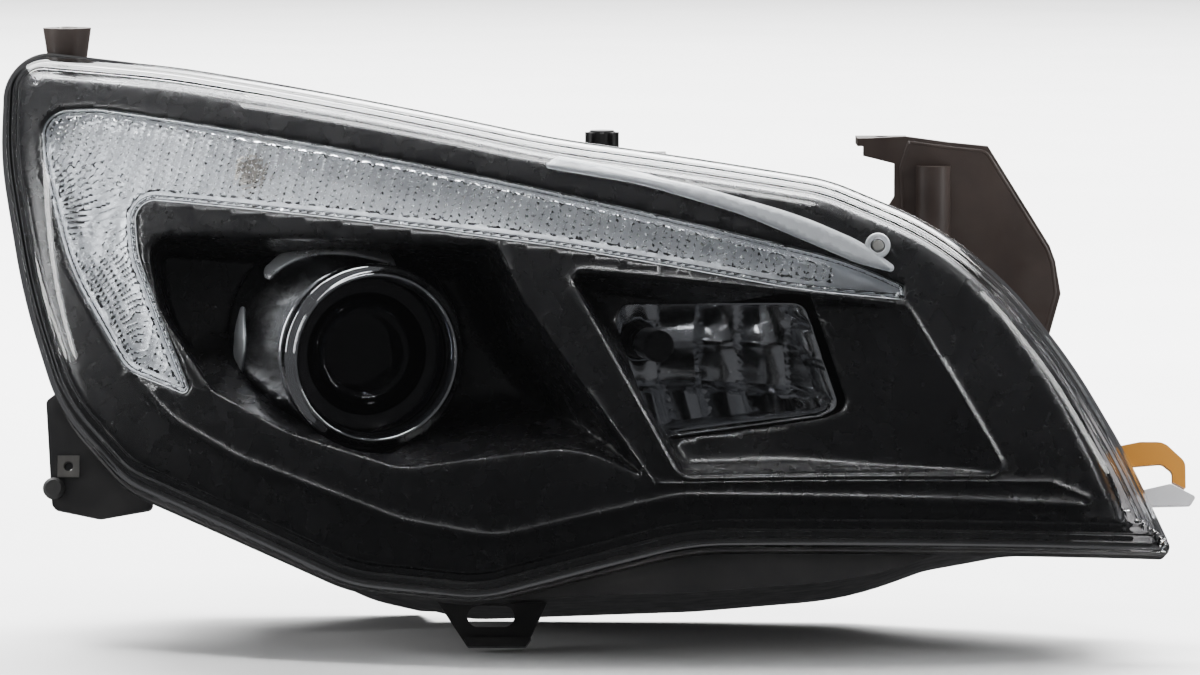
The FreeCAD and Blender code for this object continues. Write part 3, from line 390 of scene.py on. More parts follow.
def noise(tree, scale, detail=3.0):
    """A cloud texture fixed to the piece."""
    texture = tree.nodes.new("ShaderNodeTexNoise")
    texture.inputs["Scale"].default_value = scale
    texture.inputs["Detail"].default_value = detail
    texture.inputs["Roughness"].default_value = 0.55
    place = tree.nodes.new("ShaderNodeTexCoord")
    tree.links.new(place.outputs["Object"], texture.inputs["Vector"])
    return texture


def ramp(tree, cloud, low, high):
    """A colour or grey value that follows a cloud texture."""
    node = tree.nodes.new("ShaderNodeValToRGB")
    for element, position, value in zip(node.color_ramp.elements, (0.3, 0.7), (low, high)):
        element.position = position
        element.color = (*value, 1) if isinstance(value, tuple) else (value, value, value, 1)
    tree.links.new(cloud.outputs["Fac"], node.inputs["Fac"])
    return node.outputs["Color"]


def grain(tree, shader, scale, strength):
    """A fine unevenness of the surface, 0.1 mm deep at full strength."""
    bump = tree.nodes.new("ShaderNodeBump")
    bump.inputs["Strength"].default_value = strength
    bump.inputs["Distance"].default_value = 0.1 * MM
    tree.links.new(noise(tree, scale).outputs["Fac"], bump.inputs["Height"])
    tree.links.new(bump.outputs["Normal"], shader.inputs["Normal"])


def opaque(name, dark, light, rough, metallic=0.0, patches=30, texture=900, bump=0.15):
    """A moulded, plated or painted surface with uneven colour, uneven gloss and a fine grain."""
    material, tree, shader = new_material(name)
    tree.links.new(ramp(tree, noise(tree, patches), dark, light), shader.inputs["Base Color"])
    tree.links.new(ramp(tree, noise(tree, patches * 2.7, 4), *rough), shader.inputs["Roughness"])
    shader.inputs["Metallic"].default_value = metallic
    if bump:
        grain(tree, shader, texture, bump)
    return material


def glassy(name, tint, ior, rough, clear=1.0):
    """A clear or milky moulding with a faintly uneven surface."""
    material, tree, shader = new_material(name)
    shader.inputs["Base Color"].default_value = (*tint, 1)
    shader.inputs["Transmission Weight"].default_value = clear
    shader.inputs["IOR"].default_value = ior
    shader.inputs["Roughness"].default_value = rough
    grain(tree, shader, 60, 0.02)
    return material


SATIN_BLACK = opaque("satin_black", (0.0025, 0.0025, 0.0028), (0.005, 0.005, 0.0055), (0.24, 0.30), bump=0.0)
GLOSS_BLACK = opaque("gloss_black", (0.004, 0.004, 0.0045), (0.008, 0.008, 0.009), (0.07, 0.14), bump=0.02)
HOUSING = opaque("housing_black", (0.010, 0.010, 0.011), (0.022, 0.021, 0.021), (0.38, 0.55),
                 texture=1400, bump=0.3)
BRACKET = opaque("bracket_brown", (0.030, 0.021, 0.018), (0.052, 0.039, 0.034), (0.30, 0.45),
                 texture=1100, bump=0.35)
CHROME = opaque("bright_plate", (0.78, 0.79, 0.80), (0.86, 0.87, 0.88), (0.03, 0.08), 1.0, bump=0.01)
DARK_CHROME = opaque("dark_plate", (0.46, 0.47, 0.49), (0.58, 0.59, 0.61), (0.12, 0.20), 1.0, bump=0.02)
MIRROR = opaque("metallised", (0.74, 0.75, 0.77), (0.86, 0.87, 0.89), (0.09, 0.16), 1.0, bump=0.02)
WING_BACK = opaque("wing_metallised", (0.46, 0.47, 0.49), (0.66, 0.67, 0.69), (0.28, 0.38), 0.85, bump=0.05)
PATCH = opaque("ribbed_plate", (0.50, 0.51, 0.53), (0.66, 0.67, 0.69), (0.25, 0.4), 0.75, bump=0.05)
# Bowl and shield are cast and pressed metal, coloured near black here: painted shade for the dark inside of
# the projector seen through its glass.
SHADE_DARKENED_CAST = opaque("casting_in_painted_shade", (0.035, 0.035, 0.036), (0.060, 0.060, 0.062), (0.4, 0.55), 0.7,
                   texture=700, bump=0.3)
TIP_WEB = opaque("smoky_web", (0.07, 0.07, 0.075), (0.22, 0.21, 0.21), (0.2, 0.4), patches=70, bump=0.1)
SILVERED = opaque("silvered_bulb", (0.66, 0.60, 0.52), (0.78, 0.72, 0.64), (0.12, 0.2), 0.9, bump=0.02)
STEEL = opaque("zinc_steel", (0.42, 0.41, 0.38), (0.58, 0.57, 0.54), (0.25, 0.42), 1.0, bump=0.1)
RUBBER = opaque("soft_rubber", (0.012, 0.012, 0.012), (0.024, 0.024, 0.024), (0.6, 0.8),
                texture=1600, bump=0.5)
GREY = opaque("grey_moulding", (0.20, 0.20, 0.21), (0.28, 0.28, 0.29), (0.4, 0.55), bump=0.3)
NYLON = opaque("natural_nylon", (0.58, 0.57, 0.50), (0.70, 0.69, 0.63), (0.35, 0.5), bump=0.2)
BULB_BLACK = opaque("bulb_black", (0.004, 0.004, 0.004), (0.009, 0.009, 0.010), (0.12, 0.2), bump=0.03)
CLEAR = glassy("clear_lens", (0.97, 0.98, 0.99), 1.32, 0.0)
# The projector glass is tinted near black: painted shade for the dark inside of the projector seen through
# it.
SHADE_DARKENED_GLASS = glassy("projector_glass", (0.10, 0.11, 0.13), 1.50, 0.0)
BULB_GLASS = glassy("bulb_glass", (0.95, 0.96, 0.97), 1.45, 0.0)
WING_GLASS = glassy("wing_lens", (0.93, 0.945, 0.96), 1.52, 0.03)
FROSTED = glassy("frosted_strip", (0.80, 0.82, 0.85), 1.40, 0.35, 0.8)
AMBER = glassy("amber_plastic", (0.50, 0.22, 0.04), 1.45, 0.14, 0.25)
PALE = glassy("pale_clear", (0.80, 0.80, 0.82), 1.45, 0.10, 0.55)


def paint(thing, material):
    thing.data.materials.clear()
    thing.data.materials.append(material)


def finish_piece(thing, material, body, slot, *replaced):
    """Paints a piece, ties it to its body and hides the CAD nodes that it stands for."""
    paint(thing, material)
    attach(thing, body)
    if replaced:
        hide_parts(*replaced)


def dress(node, material, bevel=0.0):
    """A CAD node that stays: a better material and softened edges."""
    thing = nodes[node]
    for slot in thing.material_slots:
        slot.material = material
    if bevel:
        soften(thing, bevel)


# ---------------------------------------------------------------- outer lens
LENS_FOOT = 3.2
LENS_WALL = 2.6
SHOULDER = 22
LENS_RIDGES = (5.4, 9.2)
RIDGE_HEIGHT, RIDGE_WIDTH = 0.7, 0.9
FLANGE_SECTION = [(0.8, 0.1), (0.8, -2.0), (1.2, -2.5), (3.4, -2.5), (3.6, -1.4), (3.6, 0.1)]


def lens_depth(points):
    """The clear cover: its curved face, turned back at the edges by a round shoulder with two fine ridges."""
    inside = inset_of(points, rounded(LENS_OUTLINE, LENS_FOOT))
    fall = SHOULDER - np.sqrt(np.maximum(SHOULDER ** 2 - (SHOULDER - np.clip(inside, 0, SHOULDER)) ** 2, 0))
    for ridge in LENS_RIDGES:
        fall = fall - RIDGE_HEIGHT * (1 - ease(np.abs(inside - ridge) / RIDGE_WIDTH))
    return np.minimum(face_depth(points[:, 0], points[:, 1]) + fall, rim_depth(points[:, 0]) + 1)


def outer_lens():
    """The clear cover and the flange round its foot."""
    edge = rounded(LENS_OUTLINE, LENS_FOOT)
    insets = [0.15, 0.5, 1.2, 2.5, 14, 19, 23]
    insets += [ridge + step for ridge in LENS_RIDGES for step in (-RIDGE_WIDTH, -0.4, 0.4, RIDGE_WIDTH)]
    rings = [(rounded(LENS_OUTLINE, LENS_FOOT + inset), True) for inset in insets]

    def place(flat):
        return to_row(flat[:, 0], lens_depth(flat), flat[:, 1])

    cover = patch_mesh("outer_lens_cover", edge, rings, 9, place)
    thicken(cover, LENS_WALL, 1.0)
    finish_piece(cover, CLEAR, "housing", "clear_lens", "outer_lens")
    cover.visible_shadow = False
    flange = sweep_round("outer_lens_flange", rounded(LENS_OUTLINE, 0, 3), FLANGE_SECTION, rim_depth)
    finish_piece(flange, CLEAR, "housing", "clear_lens")
    flange.visible_shadow = False


WEB_START = 505
WEB_PLEAT = 4.5


def tip_web():
    """Pale moulding seen through the clear tip, between the bezel and the cover's edge."""
    edge = rounded(LENS_OUTLINE, LENS_FOOT + 2.9)
    bezel_edge = rounded(BEZEL_OUTLINE, BEZEL_INSET - 0.3)

    def place(flat):
        inside = inset_of(flat, edge)
        slope = ease(inside / 12)
        front = face_depth(flat[:, 0], flat[:, 1]) + BEZEL_DEPTH + BEZEL_ROLL
        crease = 1.6 * np.abs((inside / WEB_PLEAT) % 1 - 0.5)
        back = rim_depth(flat[:, 0]) - 3
        return to_row(flat[:, 0], np.minimum(back, back * (1 - slope) + front * slope + crease), flat[:, 1])

    def keep(middles):
        return ~within(middles, bezel_edge) & (middles[:, 0] > WEB_START)

    rings = [(rounded(LENS_OUTLINE, inset), True) for inset in (8.3, 10.5, 12.8)] + [(bezel_edge, True)]
    web = patch_mesh("tip_web", edge, rings, 3, place, keep)
    thicken(web, 1.2)
    finish_piece(web, TIP_WEB, "housing", "housing_black")


# ---------------------------------------------------------------- bezel
BARREL_FRONT = 14.5
RING_RIM = 45.8


def shroud_radius(back):
    """Radius of the barrel at a distance behind the beam's origin."""
    return 44.8 + 12.0 * np.sin(np.clip((back - BARREL_FRONT) / 46, 0, 1) * math.pi / 2)


BEZEL_OUTLINE = LENS_OUTLINE[:6] + [(503, -171, 300), (527, -214, 400), (548, -261, 9)] + LENS_OUTLINE[9:]
BEZEL_INSET = 8.2
BEZEL_ROLL = 9
LOW_TOP = LOW_POCKET[7:] + LOW_POCKET[:2]
LOW_RIGHT = LOW_POCKET[1:4]
LOW_BOTTOM = LOW_POCKET[3:8]
RAIL = [(40, -170, 5), (61, -195, 60), (96, -216, 90), (176, -248.5, 60), (222, -257.5, 60),
        (312, -238.5, 60), (508, -240, 2)]
SHELF = [(303, -232.5, 5), (493, -229.5, 6), (511, -236, 1.5)]
RAIL_HEIGHT = 1.8
BEAD, BEAD_HEIGHT = 0.75, 0.7
POCKET_RINGS = (0, 0.8, 1.8, 3, 4.2, 5.2, 7)
# Width and sharpness of the high-beam pocket's walls: top, right, bottom and left.
HIGH_WALLS = ((5, 2.2), (90, 1.35), (12, 2.0), (9, 2.2))


def wall_down(points, line, top, floor, width, sharpness):
    """Depth of a pocket wall that falls from its line to the floor."""
    gap = gap_to(points, rounded(line, closed=False), False)
    gap = np.sqrt(gap ** 2 + 1) - 1
    return top + (floor - top) * (1 - (1 - np.clip(gap / width, 0, 1)) ** sharpness)


def low_pocket_depth(part, top):
    """The low-beam pocket: a steep wall above and on the left, gentler ones on the right and below."""
    above = wall_down(part, LOW_TOP, top, LOW_FLOOR, 5, 2.2)
    right = wall_down(part, LOW_RIGHT, top, LOW_FLOOR, 26, 2.0)
    below = wall_down(part, LOW_BOTTOM, top, LOW_FLOOR, 46, 1.8)
    return smooth_min(smooth_min(above, right, 5), below, 8)


def high_pocket_depth(part, top):
    """The high-beam pocket, with one wall on each of its four sides."""
    corners = HIGH_POCKET + HIGH_POCKET[:1]
    surface = None
    for index, (width, sharpness) in enumerate(HIGH_WALLS):
        wall = wall_down(part, corners[index:index + 2], top, HIGH_FLOOR, width, sharpness)
        surface = wall if surface is None else smooth_min(surface, wall, 2.5)
    return surface


def bezel_depth(points):
    """The bezel's front: a face behind the cover, two pockets, a rail, fine beads and a rolled edge."""
    top = face_depth(points[:, 0], points[:, 1]) + BEZEL_DEPTH
    depth = top.copy()
    low = within(points, rounded(LOW_POCKET))
    depth[low] = low_pocket_depth(points[low], top[low])
    high = within(points, rounded(HIGH_POCKET))
    depth[high] = high_pocket_depth(points[high], top[high])
    rail = gap_to(points, rounded(RAIL, closed=False), False)
    depth -= RAIL_HEIGHT * (1 - ease((rail - 1.3) / 0.7))
    for line, closed in bead_lines():
        depth -= BEAD_HEIGHT * np.sqrt(np.clip(1 - (gap_to(points, line, closed) / BEAD) ** 2, 0, 1))
    border = inset_of(points, rounded(BEZEL_OUTLINE, BEZEL_INSET))
    depth += BEZEL_ROLL * (1 - ease(border / 8)) ** 2
    before_rim = rim_depth(points[:, 0]) - 2.8 + 3 * np.clip(border - 1, 0, 100)
    return np.minimum(depth, before_rim)


def bead_lines():
    """Fine raised edges: round the high-beam pocket, down the low-beam one and along the shelf."""
    return [(rounded(HIGH_POCKET, -1.4, 1.5), True), (rounded(LOW_RIGHT, -1.4, 1.5, False), False),
            (rounded(SHELF, 0, 1.5, False), False)]


def barrel_clearance(back):
    """Radius that clears the trim ring in front and the barrel behind it."""
    return np.where(back < BARREL_FRONT, RING_RIM + 0.7, shroud_radius(back) + 0.5)


def shroud_hole():
    """Where the barrel comes through the bezel: each line of the barrel is followed back to the surface."""
    angles = np.linspace(0, 2 * math.pi, 200, endpoint=False)
    turn, back = np.meshgrid(angles, np.arange(-8, 110, 0.8), indexing="ij")
    radius = barrel_clearance(back)
    row = beam_to_row(LOW_ORIGIN, radius * np.cos(turn), back, radius * np.sin(turn))
    along, depth, up = to_face(row.reshape(-1, 3))
    behind = (depth >= bezel_depth(np.stack([along, up], axis=1))).reshape(turn.shape)
    first = np.where(behind.any(1), behind.argmax(1), turn.shape[1] - 1)
    rows = np.arange(len(first))
    return np.stack([along.reshape(turn.shape)[rows, first], up.reshape(turn.shape)[rows, first]], axis=1)


def back_to_depth(flat, wanted):
    """How far back along the high beam each point (across, up) reaches a depth behind the face."""
    back = np.zeros(len(flat))
    for _ in range(30):
        _, depth, _ = to_face(beam_to_row(HIGH_ORIGIN, flat[:, 0], back, flat[:, 1]))
        back += (wanted - depth) * 0.9
    return back


def high_opening_on_floor():
    """The reflector's opening, carried along its beam to the pocket floor."""
    line = rounded(HIGH_OPENING, -1.0, 1.5)
    back = back_to_depth(line, HIGH_FLOOR)
    along, _, up = to_face(beam_to_row(HIGH_ORIGIN, line[:, 0], back, line[:, 1]))
    return np.stack([along, up], axis=1)


def inner_bezel():
    """The black moulding round all the lamps, open where they look through it."""
    edge = rounded(BEZEL_OUTLINE, BEZEL_INSET)
    opening = high_opening_on_floor()
    hole = shroud_hole()
    wing_edge = rounded(WING_OUTLINE, 0.0, 1.5)
    lines = [(rounded(BEZEL_OUTLINE, BEZEL_INSET + inset), True) for inset in (1, 2.5, 4.5, 7)]
    lines += [(wing_edge, True), (hole, True)]
    lines += [(rounded(LOW_POCKET, inset, 1.5), True) for inset in POCKET_RINGS]
    lines += [(rounded(HIGH_POCKET, inset, 1.5), True) for inset in POCKET_RINGS]
    lines += [(opening, True)]
    rail = rounded(RAIL, 0, 2, False)
    lines += [(shifted(rail, gap), False) for gap in (-2.1, -1.3, 0, 1.3, 2.1)]
    for line, closed in bead_lines():
        lines.append((line, closed))
        lines += [(shifted(line, gap, closed), closed) for gap in (-0.8, -0.5, 0.5, 0.8)]

    def keep(middles):
        return ~(within(middles, wing_edge) | within(middles, opening) | within(middles, hole))

    def place(flat):
        return to_row(flat[:, 0], bezel_depth(flat), flat[:, 1])

    bezel = patch_mesh("bezel_moulding", edge, lines, 3.4, place, keep)
    thicken(bezel, 1.8)
    finish_piece(bezel, SATIN_BLACK, "housing", "bezel_black", "inner_bezel")


def bezel_skirt():
    """Side wall of the bezel, from its rolled edge back to the rim."""
    line = rounded(BEZEL_OUTLINE, 0, 3)
    run = np.roll(line, -1, axis=0) - np.roll(line, 1, axis=0)
    inwards = np.stack([run[:, 1], -run[:, 0]], axis=1) / np.linalg.norm(run, axis=1)[:, None]
    front, back = line + inwards * (BEZEL_INSET + 0.2), line + inwards * (BEZEL_INSET - 1.0)
    back_depth = rim_depth(back[:, 0]) - 2.2
    rolled_depth = face_depth(front[:, 0], front[:, 1]) + BEZEL_DEPTH + BEZEL_ROLL
    front_depth = np.minimum(rolled_depth, back_depth - 0.6)
    middle, middle_depth = (front + back) / 2, (front_depth + back_depth) / 2
    rings = [to_row(flat[:, 0], depth, flat[:, 1])
             for flat, depth in ((front, front_depth), (middle, middle_depth), (back, back_depth))]
    count = len(line)
    faces = [(k * count + i, k * count + (i + 1) % count,
              (k + 1) * count + (i + 1) % count, (k + 1) * count + i)
             for k in range(2) for i in range(count)]
    skirt = add_mesh("bezel_skirt", np.concatenate(rings), faces)
    tidy(skirt)
    thicken(skirt, 1.2, 0.0)
    finish_piece(skirt, SATIN_BLACK, "housing", "bezel_black")


# ---------------------------------------------------------------- wing lamp
PILLOW, PILLOW_HEIGHT = 4.0, 1.35
FLUTE, FLUTE_HEIGHT = 2.2, 0.45
WING_BORDER = 3.6
WING_TIP = 384
STRIP = [(253, -72, 1.5), (322, -88, 200), (370, -102, 200), (400, -115, 60), (423, -132, 2), (398, -126, 60),
         (342, -102, 200), (293, -86.5, 200), (244, -77, 1.5)]
EYELET = (408, -117)
EYELET_SECTION = [(3.6, 0), (6.2, 0), (6.2, 1.6), (5.6, 2.4), (4.2, 2.4), (3.6, 1.8)]


def wing_pillows(points):
    """Height of the cushions in the wing lens and of the fine flutes round its border."""
    edge = rounded(WING_OUTLINE, 0.6, 1.2)
    inside = inset_of(points, edge)
    tilt = np.radians(-14 - 42 * ease((50 - points[:, 0]) / 60) * ease((-55 - points[:, 1]) / 60))
    across = (points[:, 0] * np.cos(tilt) + points[:, 1] * np.sin(tilt)) / PILLOW
    up = (-points[:, 0] * np.sin(tilt) + points[:, 1] * np.cos(tilt)) / (0.8 * PILLOW)
    up = up + 0.5 * (np.floor(across) % 2)
    dome = 1 - ((2 * (across % 1) - 1) ** 2 + (2 * (up % 1) - 1) ** 2) / 2
    fade = ease((inside - WING_BORDER) / 0.8) * (1 - ease((points[:, 0] - WING_TIP) / 3))
    flutes = np.abs(np.sin(math.pi * place_along(points, edge) / FLUTE))
    band = ease((inside - 0.8) / 0.5) * (1 - ease((inside - WING_BORDER + 0.6) / 0.5))
    band = band * ease((120 - points[:, 0]) / 60)
    return PILLOW_HEIGHT * dome * fade + FLUTE_HEIGHT * flutes * band


def wing_lens():
    """The clear C-shaped lens, with cushions moulded into its face."""
    edge = rounded(WING_OUTLINE, 0.6, 1.2)
    insets = (0.5, 1.0, WING_BORDER, WING_BORDER + 0.8)
    lines = [(rounded(WING_OUTLINE, 0.6 + inset, 1.2), True) for inset in insets]

    def place(flat):
        inside = inset_of(flat, edge)
        lip = 1.6 * (1 - ease(inside / 1.0))
        depth = face_depth(flat[:, 0], flat[:, 1]) + BEZEL_DEPTH - 1.0 + lip - wing_pillows(flat)
        return to_row(flat[:, 0], depth, flat[:, 1])

    lens = patch_mesh("wing_lens_moulding", edge, lines, 0.85, place)
    thicken(lens, 2.2)
    finish_piece(lens, WING_GLASS, "housing", "wing_clear", "wing_lens")
    lens.visible_shadow = False


def upper_strip():
    """Frosted strip that runs above the wing lens towards its screw, with the screw's eyelet."""
    edge = rounded(STRIP, 0, 1.5)

    def place(flat):
        inside = inset_of(flat, edge)
        depth = face_depth(flat[:, 0], flat[:, 1]) + BEZEL_DEPTH - 2.4 + 1.4 * (1 - ease(inside / 1.2))
        return to_row(flat[:, 0], depth, flat[:, 1])

    rings = [(rounded(STRIP, inset, 1.5), True) for inset in (0.5, 1.2)]
    strip = patch_mesh("wing_upper_strip", edge, rings, 2.5, place)
    thicken(strip, 1.4)
    finish_piece(strip, FROSTED, "housing", "wing_clear")
    centre = to_row(EYELET[0], face_depth(*EYELET) + BEZEL_DEPTH - 0.4, EYELET[1])
    forward = (0, -math.cos(LEAN), math.sin(LEAN))
    eyelet = lathe("wing_eyelet", EYELET_SECTION, centre, forward, 48)
    finish_piece(flat_edges(eyelet), FROSTED, "housing", "wing_clear")


def wing_reflector():
    """The metallised tray behind the wing lens, in broad facets."""
    edge = rounded(WING_OUTLINE, 0.8, 2.0)
    lines = [(rounded(WING_OUTLINE, inset, 2.0), True) for inset in (1.2, 2.0, 3.2, 5)]

    def place(flat):
        inside = inset_of(flat, edge)
        fall = 1 - (1 - np.clip(inside / 6.0, 0, 1)) ** 2.2
        facets = 1.2 * np.abs(((flat[:, 0] * 0.96 - flat[:, 1] * 0.28) / 12) % 1 - 0.5)
        depth = face_depth(flat[:, 0], flat[:, 1]) + BEZEL_DEPTH + 3 + 9 * fall + facets
        return to_row(flat[:, 0], depth, flat[:, 1])

    tray = patch_mesh("wing_reflector_tray", edge, lines, 3.0, place)
    thicken(tray, 1.0)
    finish_piece(tray, WING_BACK, "housing", "metallised", "wing_reflector")


# ---------------------------------------------------------------- projector
FORWARD = (math.sin(YAW), -math.cos(YAW), 0)
GLASS_SPHERE = 37.5
GLASS_TOP = -8
GLASS_FOOT = [(32.2, -23.0), (32.5, -23.5), (32.5, -29.5), (32.2, -30), (0.01, -30)]
BARREL_WALL = 1.5


def arc_points(centre, radius, start, end, count):
    """Points of a profile arc, angles in degrees from the radial direction."""
    angles = np.radians(np.linspace(start, end, count))
    return [(centre[0] + radius * math.cos(a), centre[1] + radius * math.sin(a)) for a in angles]


def projector():
    """The bright ring, and the projector's plano-convex glass in it."""
    ring = [(38, -14), (45, -14), (RING_RIM, -11.5)] + arc_points((43.6, -6.5), 2.2, -30, 75, 7)
    ring += [(42.6, -3.6), (41.8, -3.0)] + arc_points((40.9, -2.6), 0.9, 0, 150, 5)
    ring += [(39.6, -3.4), (38.6, -5.4), (38, -9)]
    trim = lathe("trim_ring", ring, LOW_ORIGIN, FORWARD, 160)
    finish_piece(trim, CHROME, "housing", "ring_chrome", "projector_trim_ring")
    radii = np.linspace(3, 30, 14)
    dome = [(r, GLASS_TOP - GLASS_SPHERE + math.sqrt(GLASS_SPHERE ** 2 - r ** 2)) for r in radii]
    glass = lathe("projector_glass", [(0.01, GLASS_TOP)] + dome + GLASS_FOOT, LOW_ORIGIN, FORWARD, 128, False)
    finish_piece(glass, SHADE_DARKENED_GLASS, "aiming_frame", "projector_glass", "projector_lens")


def shroud():
    """Barrel behind the trim ring."""
    backs = np.linspace(BARREL_FRONT, 90, 26)
    outside = [(float(shroud_radius(back)), -back) for back in backs]
    inside = [(radius - BARREL_WALL, height) for radius, height in reversed(outside)]
    barrel = lathe("shroud_barrel", outside + inside, LOW_ORIGIN, FORWARD, 160)
    finish_piece(barrel, DARK_CHROME, "housing", "metallised", "projector_shroud")


def barrel_patch(name, angles, front, back, ribs):
    """A ribbed plate on the barrel between two angles about the beam.

    front(share) and back(share) give its two edges, as distances behind the beam's origin.
    """
    rows, columns = 60, 90
    share = np.linspace(0, 1, columns)
    turn = np.radians(angles[0] + (angles[1] - angles[0]) * share)
    step = np.linspace(0, 1, rows)[:, None]
    depth = front(share)[None] * (1 - step) + back(share)[None] * step
    wave = ribs * np.sin(2 * math.pi * depth / 2.1 + 3 * np.sin(8 * turn)[None]) ** 2
    edge = np.minimum(np.minimum(step, 1 - step) * rows, np.minimum(share, 1 - share)[None] * columns)
    radius = shroud_radius(depth) + 0.15 + (0.5 + wave) * ease(edge / 2)
    across, up = radius * np.cos(turn)[None], radius * np.sin(turn)[None]
    points = beam_to_row(LOW_ORIGIN, across, depth, up).reshape(-1, 3)
    faces = [(r * columns + c, r * columns + c + 1, (r + 1) * columns + c + 1, (r + 1) * columns + c)
             for r in range(rows - 1) for c in range(columns - 1)]
    plate = add_mesh(name, points, faces)
    finish_piece(plate, PATCH, "housing", "metallised")


def barrel_plates():
    """The leaf-shaped plate on the crown and the narrow one on the side."""
    rear = 62

    def crown_front(share):
        return 17 + 30 * ease(share) ** 1.2

    def crown_back(share):
        length = 1 + 36 * np.sin(math.pi * np.clip(share * 0.96 + 0.02, 0, 1)) ** 0.7
        return np.minimum(crown_front(share) + length, rear)

    def side_front(share):
        return 58 - 12 * np.sin(math.pi * share)

    def side_back(share):
        return rear + 0 * share

    barrel_patch("barrel_crown_plate", (72, 140), crown_front, crown_back, 0.35)
    barrel_patch("barrel_side_plate", (158, 196), side_front, side_back, 0.1)


# ---------------------------------------------------------------- high beam
COLUMNS = [-27, -9, 9, 27, 45, 63, 78]
BULB_HOLE = 9.6
DISH_FRONT = -66


def high_surface(flat):
    """The dish, in upright cushions with a lower ledge row; flat is (across, up) about the beam."""
    across, up = flat[:, 0], flat[:, 1]
    depth = 75 - (across ** 2 + up ** 2) / 96
    edges = np.array(COLUMNS)
    index = np.clip(np.searchsorted(edges, across) - 1, 0, len(edges) - 2)
    middle, half = (edges[index] + edges[index + 1]) / 2, (edges[index + 1] - edges[index]) / 2
    share = (across - middle) / half
    depth = depth - 3.2 * (1 - share ** 2) * (0.55 + 0.45 * np.cos(index * 1.7)) - 1.6 * share
    ledge = ease((-20 - up) / 3)
    depth = depth * (1 - ledge) + ledge * (depth - 12 + 4 * np.abs(share) ** 2 + (up + 20) * 0.35)
    row = 2.0 * (1 - (((up + 44) / 21.5 % 1) * 2 - 1) ** 2)
    return depth - row * (1 - ledge)


def high_reflector():
    """The metallised dish, with a hole for its bulb."""
    edge = rounded(HIGH_OPENING, 0, 1.5)
    lines = [(rounded(HIGH_OPENING, 0.6, 1.5), True)]
    for across in COLUMNS[1:-1]:
        line = np.array([(across, up) for up in np.arange(-40, 21.5, 1.5)])
        line = line[within(line, rounded(HIGH_OPENING, 1.5))]
        lines.append((line, False))
    ledge = np.array([(across, -21.5) for across in np.arange(-16, 72, 1.5)])
    lines.append((ledge[within(ledge, rounded(HIGH_OPENING, 1.5))], False))
    angles = np.linspace(0, 2 * math.pi, 40, endpoint=False)
    ring = np.array([(BULB_HOLE * math.cos(a), BULB_HOLE * math.sin(a)) for a in angles])
    lines.append((ring, True))

    def place(flat):
        on_edge = inset_of(flat, edge) < 0.05
        front = back_to_depth(flat, DISH_FRONT)
        back = np.where(on_edge, front, np.maximum(high_surface(flat), front))
        return beam_to_row(HIGH_ORIGIN, flat[:, 0], back, flat[:, 1])

    def keep(middles):
        return ~within(middles, ring)

    dish = patch_mesh("high_beam_dish", edge, lines, 2.2, place, keep)
    thicken(dish, 1.4)
    flat_edges(dish, 30)
    finish_piece(dish, MIRROR, "aiming_frame", "metallised", "high_beam_reflector")


# ---------------------------------------------------------------- bracket face
BRACKET_OUTLINE = [(430, -57, 2), (452, -60, 6), (472, -62, 8), (504, -113, 8), (507, -121, 8),
                   (509, -137, 6), (502, -163, 10), (497, -197, 2), (478, -200, 6), (425.5, -167, 3),
                   (428, -112, 6), (425.5, -72, 2)]
BRACKET_RIB = [(432, -68, 3), (468, -70, 8), (492, -112, 14), (495, -135, 10), (488, -172, 3)]
BRACKET_FRONT = -2.0
BULGE_ALONG, BULGE_RADIUS = 444, 9
BULGE_TOP, BULGE_BOTTOM = -70, -110


def bracket_relief():
    """Pressed relief on the bracket: a rolled edge, a rib beside it and a hollow next to the bulge."""
    edge = rounded(BRACKET_OUTLINE, 0.4, 1.5)
    rib = rounded(BRACKET_RIB, 0, 1.5, False)
    lines = [(rounded(BRACKET_OUTLINE, inset, 1.5), True) for inset in (1.0, 2.6, 3.4)]
    lines += [(shifted(rib, gap), False) for gap in (-1.6, -0.8, 0, 0.8, 1.6)]

    def place(flat):
        inside = inset_of(flat, edge)
        rolled = 1.3 * ease(inside / 0.6) * (1 - ease((inside - 1.9) / 1.2))
        ridge = 1.0 * (1 - ease((gap_to(flat, rib, False) - 0.3) / 1.3))
        hollow = 0.7 * ease((inside - 3) / 3) * ease((flat[:, 0] - BULGE_ALONG - BULGE_RADIUS) / 8)
        height = 1.0 * ease(inside / 0.6) + rolled + ridge - hollow
        return np.stack([flat[:, 0], BRACKET_FRONT - height, flat[:, 1]], axis=-1)

    def keep(middles):
        beside = np.abs(middles[:, 0] - BULGE_ALONG) < BULGE_RADIUS
        return ~(beside & (middles[:, 1] < BULGE_TOP) & (middles[:, 1] > BULGE_BOTTOM))

    face = patch_mesh("bracket_relief", edge, lines, 3, place, keep)
    finish_piece(face, BRACKET, "housing", "bracket_brown")


# ---------------------------------------------------------------- stage, lights, camera
FLOOR_REACH = 11000


def stage():
    """A pale studio floor, one millimetre below the lamp."""
    level = cad_bounds[0][2] / MM - 1
    reach = FLOOR_REACH
    corners = [(-reach, -reach), (reach, -reach), (reach, reach), (-reach, reach)]
    floor = add_mesh("studio_floor", [(x, y, level) for x, y in corners], [(0, 1, 2, 3)], False)
    material, tree, shader = new_material("pale_floor")
    tree.links.new(ramp(tree, noise(tree, 3), 0.82, 0.86), shader.inputs["Base Color"])
    shader.inputs["Roughness"].default_value = 0.9
    shader.inputs["Specular IOR Level"].default_value = 0.1
    paint(floor, material)
    floor.visible_glossy = False
    floor.visible_transmission = False


def area_light(name, place, aim, width, height, power):
    """A softbox in metres and watts."""
    data = bpy.data.lights.new(name, "AREA")
    data.shape = "RECTANGLE"
    data.size, data.size_y, data.energy = width, height, power
    thing = bpy.data.objects.new(name, data)
    thing.location = place
    thing.rotation_euler = (Vector(aim) - Vector(place)).to_track_quat("-Z", "Y").to_euler()
    bpy.context.scene.collection.objects.link(thing)


